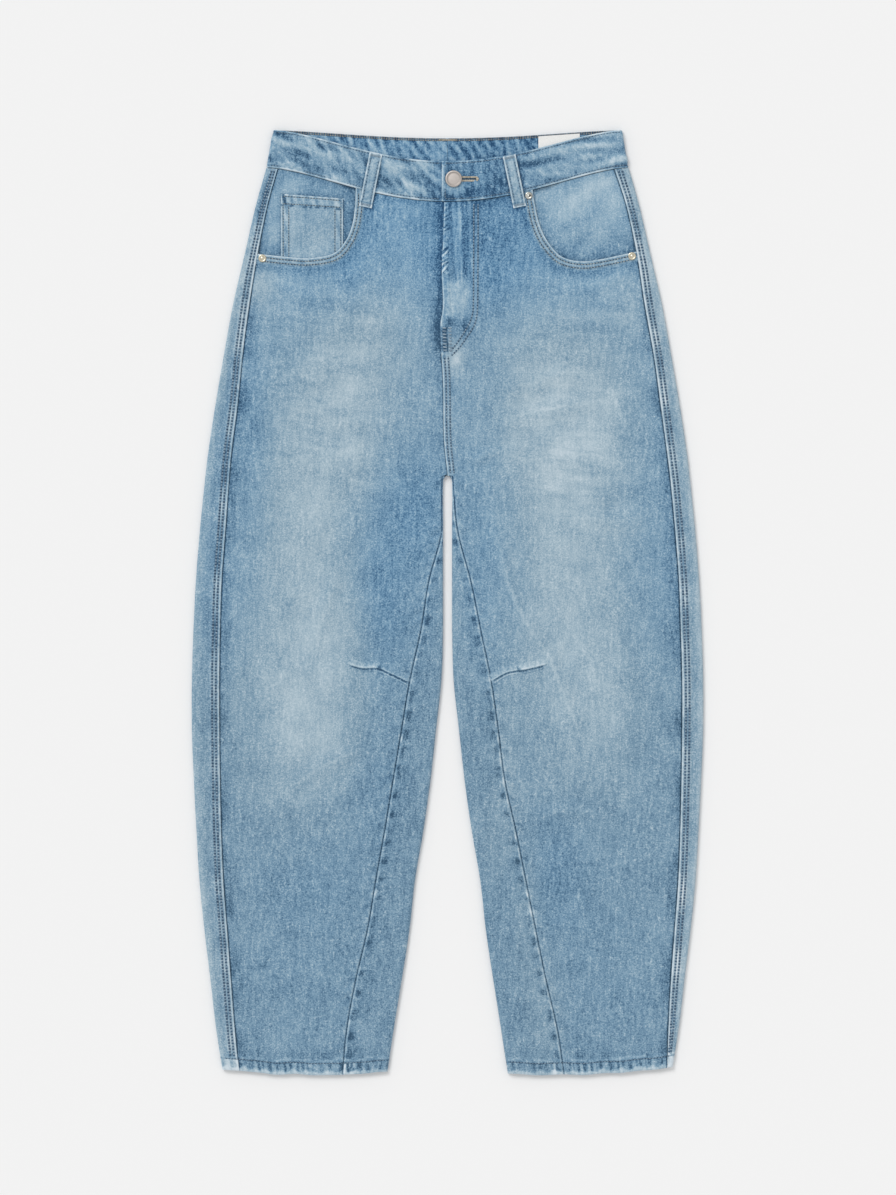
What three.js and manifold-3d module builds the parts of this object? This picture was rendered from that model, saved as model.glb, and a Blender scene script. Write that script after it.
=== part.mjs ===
// Barrel leg trousers in light denim, laid flat on their back. Millimetres.
// +X to the right as seen from above, +Y towards the waist, +Z up. The origin is on the surface they lie on.
import * as THREE from "three";
import { mergeVertices } from "three/addons/utils/BufferGeometryUtils.js";
import Module from "manifold-3d";

const wasm = await Module();
wasm.setup();

// Cloth and how its layers lie on each other
const clothThick = 1;
const seamGap = 0.3;
const waistGap = 0.5; // between the band's lower edge and the panels
const layFlat = 5; // height of a leg laid flat, over its outer faces
const hemDepth = 14;
const hemExtra = 0.8; // the turned hem is this much thicker
const feltWidth = 9; // width of the stitched allowance beside the outseam
const feltRise = 0.6;

// Waistband: half widths and heights of its four edges, and how far each dips at the middle
const band = {
  thick: 2.4,
  height: 6.4,
  topY: 501.8,
  topHalf: 185.3,
  seamY: 461.9,
  seamHalf: 192.4,
  frontTopDip: 33,
  frontSeamDip: 36,
  backTopDip: 8.5,
  backSeamDip: 9.5,
  dipPower: 1.7,
};
const lap = {
  bandEndX: -6.4, // free end of the upper band
  underEndX: 32, // hidden end of the lower band
  underDrop: 1.1,
  overRise: 1.6,
  rampFrom: 36,
  rampTo: 78,
};

// Fly: its free edge, the lower front's extension under it, and the foot of the opening
const fly = { edgeX: -5.5, underX: 8, footY: 266, rise: 1.6, riseWidth: 30 };
const crotchY = 134.5;
const crotchRound = 6;

// Half widths at each height. Outline and gap are the same on both legs.
const legSections = [
  { y: 462, outline: 192.4, gap: 0, outseamLeft: 179.8, outseamRight: 176.5, inseamLeft: 1, inseamRight: 1 },
  { y: 422, outline: 203.6, gap: 0, outseamLeft: 190.8, outseamRight: 189.4, inseamLeft: 1, inseamRight: 1 },
  { y: 369, outline: 215.8, gap: 0, outseamLeft: 201.6, outseamRight: 201.0, inseamLeft: 1, inseamRight: 1 },
  { y: 316, outline: 228.0, gap: 0, outseamLeft: 210.2, outseamRight: 209.2, inseamLeft: 1, inseamRight: 1 },
  { y: 263, outline: 237.6, gap: 0, outseamLeft: 217.2, outseamRight: 218.6, inseamLeft: 1, inseamRight: 1 },
  { y: 210, outline: 246.6, gap: 0, outseamLeft: 222.6, outseamRight: 226.0, inseamLeft: 1, inseamRight: 1 },
  { y: 157, outline: 254.6, gap: 2, outseamLeft: 229.4, outseamRight: 233.1, inseamLeft: 3, inseamRight: 3 },
  { y: 128, outline: 257.9, gap: 4.8, outseamLeft: 231.8, outseamRight: 236.6, inseamLeft: 5.8, inseamRight: 5.8 },
  { y: 77, outline: 263.1, gap: 4.8, outseamLeft: 235.5, outseamRight: 241.4, inseamLeft: 5.9, inseamRight: 10.7 },
  { y: 24, outline: 267.3, gap: 4.8, outseamLeft: 239.4, outseamRight: 245.4, inseamLeft: 19.5, inseamRight: 24.5 },
  { y: -29, outline: 270.0, gap: 4.8, outseamLeft: 241.2, outseamRight: 247.4, inseamLeft: 28.2, inseamRight: 35.3 },
  { y: -82, outline: 271.6, gap: 6.4, outseamLeft: 242.0, outseamRight: 248.9, inseamLeft: 39.9, inseamRight: 46.3 },
  { y: -136, outline: 271.6, gap: 12.2, outseamLeft: 241.9, outseamRight: 248.9, inseamLeft: 49.0, inseamRight: 54.1 },
  { y: -189, outline: 269.5, gap: 18.1, outseamLeft: 241.2, outseamRight: 248.1, inseamLeft: 57.9, inseamRight: 61.0 },
  { y: -242, outline: 266.8, gap: 25.5, outseamLeft: 240.0, outseamRight: 246.9, inseamLeft: 66.7, inseamRight: 72.6 },
  { y: -295, outline: 263.6, gap: 34.5, outseamLeft: 237.8, outseamRight: 244.8, inseamLeft: 76.2, inseamRight: 83.3 },
  { y: -348, outline: 258.3, gap: 40.4, outseamLeft: 233.7, outseamRight: 240.9, inseamLeft: 85.2, inseamRight: 93.9 },
  { y: -401, outline: 251.9, gap: 48.4, outseamLeft: 229.7, outseamRight: 237.0, inseamLeft: 97.5, inseamRight: 104.8 },
  { y: -454, outline: 246.1, gap: 56.9, outseamLeft: 225.6, outseamRight: 234.3, inseamLeft: 107.2, inseamRight: 117.0 },
  { y: -503, outline: 238.9, gap: 64.2, outseamLeft: 220.8, outseamRight: 233.2, inseamLeft: 111.8, inseamRight: 124.2 },
];

// Heights of the hem at the inner fold, the middle and the outer fold of each leg
const hemLines = {
  left: { inner: -498.5, middle: -501.7, outer: -495.5 },
  right: { inner: -500.5, middle: -501, outer: -493.5 },
};

// Centre front seam between the fly's foot and the crotch
const centreSeam = [
  { y: fly.footY, x: -5 },
  { y: 210, x: -4 },
  { y: 160, x: -3 },
  { y: crotchY, x: 0 },
];

// Pocket edges, from the waistband seam round to the outseam
const pocketEdges = {
  left: [
    { x: -97.5, y: 446 },
    { x: -97.8, y: 433 },
    { x: -98.5, y: 419 },
    { x: -101.5, y: 401 },
    { x: -108, y: 385 },
    { x: -121, y: 371 },
    { x: -146, y: 366 },
    { x: -169, y: 367 },
    { x: -206, y: 371 },
  ],
  right: [
    { x: 90, y: 446 },
    { x: 91, y: 434 },
    { x: 93, y: 422 },
    { x: 97, y: 404 },
    { x: 105.5, y: 385 },
    { x: 120.5, y: 368 },
    { x: 141, y: 362.5 },
    { x: 164, y: 365 },
    { x: 206, y: 374 },
  ],
};
const facing = { innerX: 84, bottomY: 350, high: 4.7, low: 2.3, bowlX: 84, bowlY: 97, bowlPower: 4.7 };
const coin = { leftX: -177, rightX: -111, topLeftY: 434, topRightY: 429, bottomY: 360 };

// Soft rolls of cloth over the largest creases of the fronts
const rolls = [
  { fromX: 45, fromY: 98, toX: 111, toY: -63, width: 15, height: 1.3 },
  { fromX: 106, fromY: -52, toX: 140, toY: -138, width: 15, height: 1.3 },
  { fromX: 148, fromY: 90, toX: 209, toY: 90, width: 13, height: 1.1 },
  { fromX: 55, fromY: 190, toX: 165, toY: 214, width: 14, height: 0.9 },
  { fromX: 90, fromY: -224, toX: 168, toY: -223, width: 12, height: 0.9 },
  { fromX: -60, fromY: 180, toX: -160, toY: 212, width: 14, height: 0.9 },
  { fromX: -95, fromY: 120, toX: -150, toY: -70, width: 17, height: 1.1 },
  { fromX: -70, fromY: -150, toX: -170, toY: -196, width: 14, height: 0.9 },
];

// Knee darts, from the inseam outwards
const darts = {
  left: [
    { x: -41, y: -86 },
    { x: -57.5, y: -78 },
    { x: -74, y: -71 },
    { x: -92, y: -70.5 },
    { x: -112, y: -64.5 },
  ],
  right: [
    { x: 47, y: -84.5 },
    { x: 64.5, y: -75 },
    { x: 84, y: -72 },
    { x: 112, y: -65 },
  ],
};
const dartCut = { width: 1.2, depth: 0.55 };

const backPocket = { innerX: 28, outerX: 166, topY: 335, sideY: 222, pointY: 196, taper: 4 };
const loopSize = { width: 12.5, thick: 1.1 };
const frontLoops = {
  left: { topX: -76, topY: 476.5, bottomX: -86.3, bottomY: 420.5 },
  right: { topX: 65.4, topY: 474.5, bottomX: 76.7, bottomY: 420 },
};
const backLoopX = { left: -70, centre: 0, right: 70 };
const button = { x: 6.5, y: 449.7, radius: 8.95, capThick: 3.4, neck: 2.2 };
const buttonhole = { eyelet: 2.7, slotWidth: 2.6, endX: 31 };
const rivetRadius = 3.9;
const rivets = [
  { name: "rivet_left_lower", x: -196.7, y: 365.5, silver: false },
  { name: "rivet_right_lower", x: 196, y: 367.8, silver: false },
  { name: "rivet_right_upper", x: 86.3, y: 432, silver: true },
];
const zipSize = { x: 1, width: 24, tape: 1.1, teeth: 4.6, height: 2.2, fromY: 286, toY: 414 };
const labelSize = { x: 118.5, width: 44, height: 34, thick: 1 };

const finishes = {
  denim: new THREE.MeshStandardMaterial({ color: 0x8fb0cc, roughness: 0.9, metalness: 0 }),
  gold: new THREE.MeshStandardMaterial({ color: 0xd9c3a0, roughness: 0.35, metalness: 0.9 }),
  silver: new THREE.MeshStandardMaterial({ color: 0xd8d4d2, roughness: 0.3, metalness: 0.9 }),
  zip: new THREE.MeshStandardMaterial({ color: 0x9c8f76, roughness: 0.5, metalness: 0.4 }),
  label: new THREE.MeshStandardMaterial({ color: 0xf4f4f2, roughness: 0.8, metalness: 0 }),
};

const trousers = new THREE.Group();
const { lerp, clamp, smoothstep } = THREE.MathUtils;
const pathPoints = (rows) => rows.map((row) => new THREE.Vector2(row.x, row.y));

// A value between the rows of a table whose y goes down, along a smooth curve.
function readRows(rows, column, y) {
  let i = 1;
  while (i < rows.length - 1 && rows[i].y > y) i += 1;
  const [a, b] = [rows[i - 1], rows[i]];
  const [before, after] = [rows[i - 2] ?? a, rows[i + 1] ?? b];
  const slope = (p, q) => (p === q ? 0 : (q[column] - p[column]) / (q.y - p.y));
  const step = b.y - a.y;
  const t = clamp((y - a.y) / step, 0, 1);
  const [startSlope, endSlope] = [slope(before, b) * step, slope(a, after) * step];
  const [t2, t3] = [t * t, t * t * t];
  return (
    a[column] * (2 * t3 - 3 * t2 + 1) + startSlope * (t3 - 2 * t2 + t) + b[column] * (3 * t2 - 2 * t3) + endSlope * (t3 - t2)
  );
}

// Half the gap between the legs, round at its top.
function gapAt(y) {
  if (y >= crotchY) return 0;
  const into = clamp((crotchY - y) / crotchRound, 0, 1);
  return readRows(legSections, "gap", Math.min(y, 128)) * Math.sqrt(1 - (1 - into) ** 2);
}

const outlineAt = (y) => readRows(legSections, "outline", y);
const outseamAt = (side, y) => readRows(legSections, side === "left" ? "outseamLeft" : "outseamRight", y);
const inseamAt = (side, y) =>
  Math.max(readRows(legSections, side === "left" ? "inseamLeft" : "inseamRight", y), gapAt(y) + 1.1);

// How far a waist edge dips at x, full at the middle and nothing at the side fold.
const dipAt = (x, half, dip) => dip * Math.pow(Math.max(0, 1 - (x / half) ** 2), band.dipPower);

// The height of a row of cloth at x: it follows the waistband seam at the top and the hem at the foot.
function rowHeight(side, share, x, seamDip) {
  const side0 = band.seamY - waistGap;
  const hem = hemLines[side];
  const inner = gapAt(hem.inner);
  const outer = outlineAt(hem.outer);
  const across = clamp((Math.abs(x) - inner) / (outer - inner), 0, 1);
  const foot = lerp(hem.inner, hem.outer, across) + 4 * across * (1 - across) * (hem.middle - (hem.inner + hem.outer) / 2);
  const plain = lerp(side0, -500, share);
  const top = dipAt(x, band.seamHalf, seamDip) * (1 - smoothstep(side0 - plain, 0, 190));
  return plain - top + (foot + 500) * smoothstep(-plain, 380, 500);
}

const shareAt = (y) => (band.seamY - waistGap - y) / (band.seamY - waistGap + 500);

// Shares of the way down at which the cloth has a row.
function rowShares() {
  const heights = [band.seamY - waistGap, 440];
  for (let y = 410; y > 150; y -= 34) heights.push(y);
  heights.push(crotchY, crotchY - 1.5, crotchY - crotchRound, 112);
  for (let y = 84; y > -460; y -= 40) heights.push(y);
  heights.push(-500 + hemDepth + 2, -500 + hemDepth, -500);
  return heights.map(shareAt);
}

// One when y is in the turned hem.
const hemAt = (y) => 1 - smoothstep(y, -500 + hemDepth, -500 + hemDepth + 2);

function rollsAt(x, y) {
  let rise = 0;
  for (const roll of rolls) {
    const along = new THREE.Vector2(roll.toX - roll.fromX, roll.toY - roll.fromY);
    const offset = new THREE.Vector2(x - roll.fromX, y - roll.fromY);
    const t = clamp(offset.dot(along) / along.lengthSq(), 0, 1);
    const away = offset.sub(along.multiplyScalar(t)).length() / roll.width;
    rise += roll.height * Math.exp(-away * away);
  }
  return Math.min(rise, 1.6);
}

// A point on the rolled edge of a leg, d in from its outline, on the upper face: height and outward normal.
function edgePoint(d, height) {
  const r = height / 2;
  if (d >= r) return { z: height, nx: 0, nz: 1 };
  const c = r - d;
  const s = Math.sqrt(r * r - c * c);
  return { z: r + s, nx: c / r, nz: s / r };
}

// A closed wall from sections of equal length, each with an outer and an inner row of points.
function wallBody(sections) {
  const n = sections[0].outer.length;
  const positions = [];
  const faces = [];
  for (const s of sections) for (const p of [...s.outer, ...s.inner]) positions.push(p.x, p.y, p.z);
  const outer = (row, i) => row * 2 * n + i;
  const inner = (row, i) => row * 2 * n + n + i;
  const quad = (a, b, c, d) => faces.push(a, b, c, a, c, d);
  for (let row = 0; row + 1 < sections.length; row += 1) {
    for (let i = 0; i + 1 < n; i += 1) {
      quad(outer(row, i), outer(row + 1, i), outer(row + 1, i + 1), outer(row, i + 1));
      quad(inner(row, i + 1), inner(row + 1, i + 1), inner(row + 1, i), inner(row, i));
    }
    quad(inner(row, 0), inner(row + 1, 0), outer(row + 1, 0), outer(row, 0));
    quad(outer(row, n - 1), outer(row + 1, n - 1), inner(row + 1, n - 1), inner(row, n - 1));
  }
  const last = sections.length - 1;
  for (let i = 0; i + 1 < n; i += 1) {
    quad(inner(0, i), outer(0, i), outer(0, i + 1), inner(0, i + 1));
    quad(inner(last, i + 1), outer(last, i + 1), outer(last, i), inner(last, i));
  }
  const geometry = new THREE.BufferGeometry();
  geometry.setAttribute("position", new THREE.Float32BufferAttribute(positions, 3));
  geometry.setIndex(faces);
  return facingOut(geometry);
}

// Turns a closed geometry's faces outwards if they point in.
function facingOut(geometry) {
  const p = geometry.attributes.position;
  const index = geometry.index.array;
  const [a, b, c] = [new THREE.Vector3(), new THREE.Vector3(), new THREE.Vector3()];
  let volume = 0;
  for (let i = 0; i < index.length; i += 3) {
    a.fromBufferAttribute(p, index[i]);
    b.fromBufferAttribute(p, index[i + 1]);
    c.fromBufferAttribute(p, index[i + 2]);
    volume += a.dot(b.cross(c));
  }
  if (volume < 0) for (let i = 0; i < index.length; i += 3) [index[i], index[i + 1]] = [index[i + 1], index[i]];
  return geometry;
}

function solidOf(geometry) {
  const bare = geometry.clone();
  bare.deleteAttribute("normal");
  bare.deleteAttribute("uv");
  const merged = mergeVertices(bare, 1e-4);
  const mesh = new wasm.Mesh({
    numProp: 3,
    vertProperties: merged.attributes.position.array,
    triVerts: new Uint32Array(merged.index.array),
  });
  return new wasm.Manifold(mesh);
}

function geometryOf(solid) {
  const mesh = solid.getMesh();
  const geometry = new THREE.BufferGeometry();
  geometry.setAttribute("position", new THREE.Float32BufferAttribute(mesh.vertProperties, 3));
  geometry.setIndex(Array.from(mesh.triVerts));
  return geometry;
}

// A flat outline raised from one height to another.
function prism(shape, fromZ, toZ, curveSegments = 12) {
  const geometry = new THREE.ExtrudeGeometry(shape, { depth: toZ - fromZ, bevelEnabled: false, curveSegments });
  return geometry.translate(0, 0, fromZ);
}

function place(name, geometry, finish) {
  const mesh = new THREE.Mesh(geometry, finishes[finish]);
  mesh.name = name;
  trousers.add(mesh);
}

// The wall's point under an outer point, along its normal, which lies across the leg.
const inward = (p, thick) => ({ x: p.x - p.nx * thick, y: p.y, z: p.z - p.nz * thick });

// One row of a back panel: side seam, outer fold, underside, then round the inner fold to the inseam.
function backSection(side, share) {
  const sign = side === "left" ? -1 : 1;
  const plain = rowHeight(side, share, band.seamHalf, 0);
  const hem = hemAt(plain);
  const height = layFlat + hemExtra * hem;
  const r = height / 2;
  const outline = outlineAt(plain);
  const seam = outseamAt(side, plain) + seamGap / 2;
  const flat = outline - r - seam;
  const felt = feltRise * (1 - hem);
  const points = [];
  const put = (x, z, nx, nz, dip) => {
    points.push({ x: sign * x, y: rowHeight(side, share, x, dip), z, nx: sign * nx, nz });
  };
  put(seam, height + felt, 0, 1, band.frontSeamDip);
  put(seam + Math.min(feltWidth, flat * 0.72), height + felt, 0, 1, band.frontSeamDip);
  put(seam + Math.min(feltWidth + 2, flat * 0.92), height, 0, 1, band.frontSeamDip);
  for (const turn of [0, 45, 90, 135]) {
    const a = THREE.MathUtils.degToRad(turn);
    put(outline - r + r * Math.sin(a), r + r * Math.cos(a), Math.sin(a), Math.cos(a), 0);
  }
  const open = plain < crotchY;
  const gap = gapAt(plain);
  const start = open ? gap + r : seamGap / 2 + 1.8;
  for (let i = 0; i <= 5; i += 1) put(lerp(outline - r, start, i / 5), 0, 0, -1, band.backSeamDip);
  const inseam = inseamAt(side, plain) - seamGap / 2;
  const reach = inseam - gap;
  const wrap = reach >= r ? Math.PI * r + reach - r : r * (Math.PI - Math.asin((r - reach) / r));
  for (let i = 1; i <= 7; i += 1) {
    if (!open) {
      put(start - (i * 1.8) / 7, 0, 0, -1, band.backSeamDip);
      continue;
    }
    const onFold = Math.min(wrap, Math.PI * r);
    const way = i <= 5 ? (onFold * i) / 5 : onFold + ((wrap - onFold) * (i - 5)) / 2;
    if (wrap <= Math.PI * r) {
      const a = (wrap * i) / 7 / r;
      put(gap + r - r * Math.sin(a), r - r * Math.cos(a), -Math.sin(a), -Math.cos(a), band.backSeamDip);
    } else if (i <= 5) {
      const a = way / r;
      put(gap + r - r * Math.sin(a), r - r * Math.cos(a), -Math.sin(a), -Math.cos(a), band.backSeamDip);
    } else {
      put(gap + r + way - onFold, height, 0, 1, band.backSeamDip);
    }
  }
  const thick = clothThick + hemExtra * hem;
  return { outer: points, inner: points.map((p) => inward(p, thick)) };
}

function pocketOutline(grow) {
  const { innerX, outerX, topY, sideY, pointY, taper } = backPocket;
  const middle = (innerX + outerX) / 2;
  const shape = new THREE.Shape();
  shape.moveTo(innerX - grow, topY + grow);
  shape.lineTo(innerX + taper - grow, sideY - grow * 0.6);
  shape.lineTo(middle, pointY - grow);
  shape.lineTo(outerX - taper + grow, sideY - grow * 0.6);
  shape.lineTo(outerX + grow, topY + grow);
  shape.closePath();
  return shape;
}

const mirrored = (geometry, side) => {
  if (side === "right") return geometry;
  const turned = geometry.index ? geometry.clone() : mergeVertices(geometry);
  turned.scale(-1, 1, 1);
  const index = turned.index.array;
  for (let i = 0; i < index.length; i += 3) [index[i], index[i + 1]] = [index[i + 1], index[i]];
  return turned;
};

// The back panel steps over its patch pocket, so that both lie flat on the surface.
function addBackPanel(side) {
  const wall = solidOf(wallBody(rowShares().map((share) => backSection(side, share))));
  const clear = clothThick + seamGap;
  const raised = solidOf(mirrored(prism(pocketOutline(seamGap + clothThick), 0.2, clear + clothThick), side));
  const hollow = solidOf(mirrored(prism(pocketOutline(seamGap), -1, clear), side));
  place("back_panel_" + side, geometryOf(wall.add(raised).subtract(hollow)), "denim");
  place("back_pocket_" + side, mirrored(prism(pocketOutline(0), 0, clothThick), side), "denim");
}

// The inner edge of a front: fly or centre seam above the crotch, inseam below it.
function frontInner(side, y) {
  const sign = side === "left" ? -1 : 1;
  const half = seamGap / 2;
  if (y <= crotchY) return sign * (inseamAt(side, y) + half);
  if (y > fly.footY) return side === "left" ? fly.underX : fly.edgeX;
  const seam = readRows(centreSeam, "x", y);
  return seam + sign * half;
}

function flyRise(side, x, y) {
  if (side === "left") return 0;
  const across = 1 - smoothstep(x, fly.underX + 2, fly.underX + 2 + fly.riseWidth);
  return fly.rise * across * smoothstep(y, fly.footY - 40, fly.footY - 1);
}

// One row of a front: from the side seam to the fly, centre seam or inseam.
function frontSection(side, share, steps) {
  const sign = side === "left" ? -1 : 1;
  const plain = rowHeight(side, share, band.seamHalf, 0);
  const hem = hemAt(plain);
  const height = layFlat + hemExtra * hem;
  const innerY = rowHeight(side, share, 0, band.frontSeamDip);
  const inner = frontInner(side, plain > crotchY + 60 ? innerY : plain);
  const outer = sign * (outseamAt(side, plain) - seamGap / 2);
  const points = [];
  for (let i = 0; i <= steps; i += 1) {
    const x = i < steps ? lerp(outer, inner - sign * -4, i / (steps - 1)) : inner;
    const y = rowHeight(side, share, x, band.frontSeamDip);
    const open = plain < crotchY;
    const edge = edgePoint(open ? Math.abs(x) - gapAt(plain) : height, height);
    const quiet = smoothstep(Math.abs(x - inner), 2, 26) * smoothstep(Math.abs(x - outer), 2, 26) * (1 - hem);
    const z = edge.z + rollsAt(x, y) * quiet + flyRise(side, x, y);
    points.push({ x, y, z, nx: -sign * edge.nx, nz: edge.nz });
  }
  const thick = clothThick + hemExtra * hem;
  return { outer: points, inner: points.map((p) => inward(p, thick)) };
}

// A shallow groove along the knee dart: a strip of even width, sunk into the cloth's upper face.
function dartGroove(side) {
  const curve = new THREE.SplineCurve(pathPoints(darts[side]));
  const left = [];
  const right = [];
  for (const t of [0, 0.25, 0.5, 0.75, 1]) {
    const p = curve.getPoint(t);
    const across = curve.getTangent(t).multiplyScalar((dartCut.width / 2) * (1 - 0.7 * t));
    left.push(new THREE.Vector2(p.x - across.y, p.y + across.x));
    right.unshift(new THREE.Vector2(p.x + across.y, p.y - across.x));
  }
  return prism(new THREE.Shape([...left, ...right]), layFlat - dartCut.depth, layFlat + 3);
}

function addFrontPanel(side) {
  const sign = side === "left" ? -1 : 1;
  const shares = rowShares();
  for (const y of [fly.footY + 1.5, fly.footY - 1.5]) shares.push(shareAt(y));
  shares.sort((a, b) => a - b);
  const wall = solidOf(wallBody(shares.map((share) => frontSection(side, share, 10))));
  const opening = new THREE.Shape();
  const edge = pathPoints(pocketEdges[side]);
  opening.moveTo(edge[0].x, edge[0].y + 40);
  opening.lineTo(edge[0].x, edge[0].y);
  opening.splineThru(edge.slice(1));
  opening.lineTo(sign * 240, edge.at(-1).y);
  opening.lineTo(sign * 240, edge[0].y + 40);
  opening.closePath();
  const cut = solidOf(prism(opening, 2, 9, 2));
  const dart = solidOf(dartGroove(side));
  place("front_panel_" + side, geometryOf(wall.subtract(cut).subtract(dart)), "denim");
}

// Height of the facing: at the panels' level in the opening, sunk under the pocket edge.
function facingHeight(side, x, y) {
  const across = Math.abs(x - (side === "left" ? -181 : 178)) / facing.bowlX;
  const inside = Math.abs(x) > 179 ? 0 : across;
  const down = Math.max(0, band.seamY - y) / facing.bowlY;
  const bowl = Math.pow(inside ** facing.bowlPower + down ** facing.bowlPower, 1 / facing.bowlPower);
  return lerp(facing.low, facing.high, smoothstep(0.9 - bowl, 0, 0.27));
}

function addFacing(side) {
  const sign = side === "left" ? -1 : 1;
  const sections = [];
  for (const y0 of [band.seamY - waistGap, 448, 430, 412, 396, 384, 372, 361, facing.bottomY]) {
    const outer = sign * (outseamAt(side, y0) - seamGap * 1.5);
    const points = [];
    for (let i = 0; i <= 8; i += 1) {
      const x = lerp(outer, sign * facing.innerX, i / 8);
      const fade = 1 - smoothstep(band.seamY - y0, 0, band.seamY - facing.bottomY);
      const y = y0 - dipAt(x, band.seamHalf, band.frontSeamDip) * fade;
      points.push({ x, y, z: facingHeight(side, x, y), nx: 0, nz: 1 });
    }
    sections.push({ outer: points, inner: points.map((p) => inward(p, clothThick)) });
  }
  place("pocket_facing_" + side, wallBody(sections), "denim");
}

function addCoinPocket() {
  const sections = [];
  for (let j = 0; j <= 6; j += 1) {
    const points = [];
    for (let i = 0; i <= 5; i += 1) {
      const x = lerp(coin.leftX, coin.rightX, i / 5);
      const y = lerp(lerp(coin.topLeftY, coin.topRightY, i / 5), coin.bottomY, j / 6);
      points.push({ x, y, z: facingHeight("left", x, y) + 0.5 + clothThick, nx: 0, nz: 1 });
    }
    sections.push({ outer: points, inner: points.map((p) => inward(p, clothThick)) });
  }
  place("coin_pocket", wallBody(sections), "denim");
}

// A point of the band's edge on the front or the back: share 0 is its seam, 1 its top edge.
function bandEdge(along, share, front) {
  const half = lerp(band.seamHalf, band.topHalf, share);
  const y0 = lerp(band.seamY, band.topY, share);
  const dips = front ? [band.frontSeamDip, band.frontTopDip] : [band.backSeamDip, band.backTopDip];
  const x = along * half;
  return { x, y: y0 - dipAt(x, half, lerp(dips[0], dips[1], share)) };
}

function bandLift(side, x) {
  if (side === "left") return -lap.underDrop * smoothstep(x, -50, -12);
  return lap.overRise * (1 - smoothstep(x, lap.rampFrom, lap.rampTo));
}

// One half of the band: front, round the side fold, back to the centre.
function addWaistband(side) {
  const sign = side === "left" ? -1 : 1;
  const r = band.height / 2;
  const sections = [];
  const station = (along, turn, front) => {
    const outer = [];
    const inner = [];
    for (const share of [0, 0.5, 1]) {
      const edge = bandEdge(along, share, front);
      const a = THREE.MathUtils.degToRad(turn);
      const lift = turn === 0 ? bandLift(side, edge.x) : 0;
      const x = edge.x + sign * r * Math.sin(a);
      const z = r + r * Math.cos(a) + lift;
      outer.push({ x, y: edge.y, z });
      inner.push({ x: x - sign * band.thick * Math.sin(a), y: edge.y, z: z - band.thick * Math.cos(a) });
    }
    sections.push({ outer, inner });
  };
  const side0 = 1 - r / band.topHalf;
  const frontEnd = (side === "left" ? lap.underEndX : lap.bandEndX) / band.seamHalf;
  const steps = 14;
  for (let i = 0; i <= steps; i += 1) station(lerp(frontEnd, sign * side0, i / steps), 0, true);
  for (const turn of [36, 72, 108, 144]) station(sign * side0, turn, true);
  for (let i = 0; i <= 8; i += 1) station(sign * lerp(side0, seamGap / 2 / band.topHalf, i / 8), 180, false);
  let solid = solidOf(wallBody(sections));
  for (const loop of Object.values(backLoopX)) {
    const recess = new THREE.BoxGeometry(loopSize.width + 2 * seamGap, 90, 2 * (loopSize.thick + seamGap - 0.1));
    solid = solid.subtract(solidOf(recess.translate(loop, 475, 0)));
  }
  if (side === "right") solid = solid.subtract(solidOf(prism(buttonholeOutline(), 2, 12, 8)));
  place("waistband_" + side, geometryOf(solid), "denim");
}

// Round where the button's neck passes, then a slot to the right.
function buttonholeOutline() {
  const shape = new THREE.Shape();
  const half = buttonhole.slotWidth / 2;
  const a = Math.asin(half / buttonhole.eyelet);
  shape.absarc(button.x, button.y, buttonhole.eyelet, a, 2 * Math.PI - a, false);
  shape.lineTo(buttonhole.endX, button.y - half);
  shape.lineTo(buttonhole.endX, button.y + half);
  shape.closePath();
  return shape;
}

// A round metal piece from a profile of radius and height, standing at x, y and z.
function turned(profile, x, y, z, segments) {
  const points = profile.map((row) => new THREE.Vector2(row.r, row.z));
  const geometry = new THREE.LatheGeometry(points, segments).rotateX(Math.PI / 2).translate(x, y, z);
  const bare = geometry.clone();
  bare.deleteAttribute("normal");
  bare.deleteAttribute("uv");
  return facingOut(mergeVertices(bare, 1e-4));
}

function addButton() {
  const seat = band.height - lap.underDrop + seamGap;
  const cloth = band.height + lap.overRise - seat;
  const cap = cloth + seamGap;
  const profile = [
    { r: 0, z: 0 },
    { r: button.neck, z: 0 },
    { r: button.neck, z: cap },
    { r: button.radius - 0.8, z: cap },
    { r: button.radius, z: cap + 0.9 },
    { r: button.radius, z: cap + 2 },
    { r: button.radius - 1, z: cap + button.capThick },
    { r: button.radius - 2.2, z: cap + button.capThick },
    { r: button.radius - 3.2, z: cap + button.capThick - 0.8 },
    { r: 0, z: cap + button.capThick - 0.6 },
  ];
  place("button", turned(profile, button.x, button.y, seat, 24), "silver");
}

function addRivets() {
  for (const rivet of rivets) {
    const profile = [
      { r: 0, z: 0 },
      { r: rivetRadius, z: 0 },
      { r: rivetRadius, z: 0.5 },
      { r: rivetRadius - 0.9, z: 1 },
      { r: 1.9, z: 1 },
      { r: 1.4, z: 1.5 },
      { r: 0, z: 1.6 },
    ];
    const piece = turned(profile, rivet.x, rivet.y, layFlat + seamGap, 14);
    place(rivet.name, piece, rivet.silver ? "silver" : "gold");
  }
}

// A strap with square edges along a route of points, its width across the route.
function strap(route, width, thick) {
  const along = new THREE.Vector2(route.at(-1).x - route[0].x, route.at(-1).y - route[0].y).normalize();
  const [ax, ay] = [(-along.y * width) / 2, (along.x * width) / 2];
  return wallBody(
    route.map((p) => ({
      outer: [
        { x: p.x - ax, y: p.y - ay, z: p.z + thick },
        { x: p.x + ax, y: p.y + ay, z: p.z + thick },
      ],
      inner: [
        { x: p.x - ax, y: p.y - ay, z: p.z },
        { x: p.x + ax, y: p.y + ay, z: p.z },
      ],
    })),
  );
}

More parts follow.
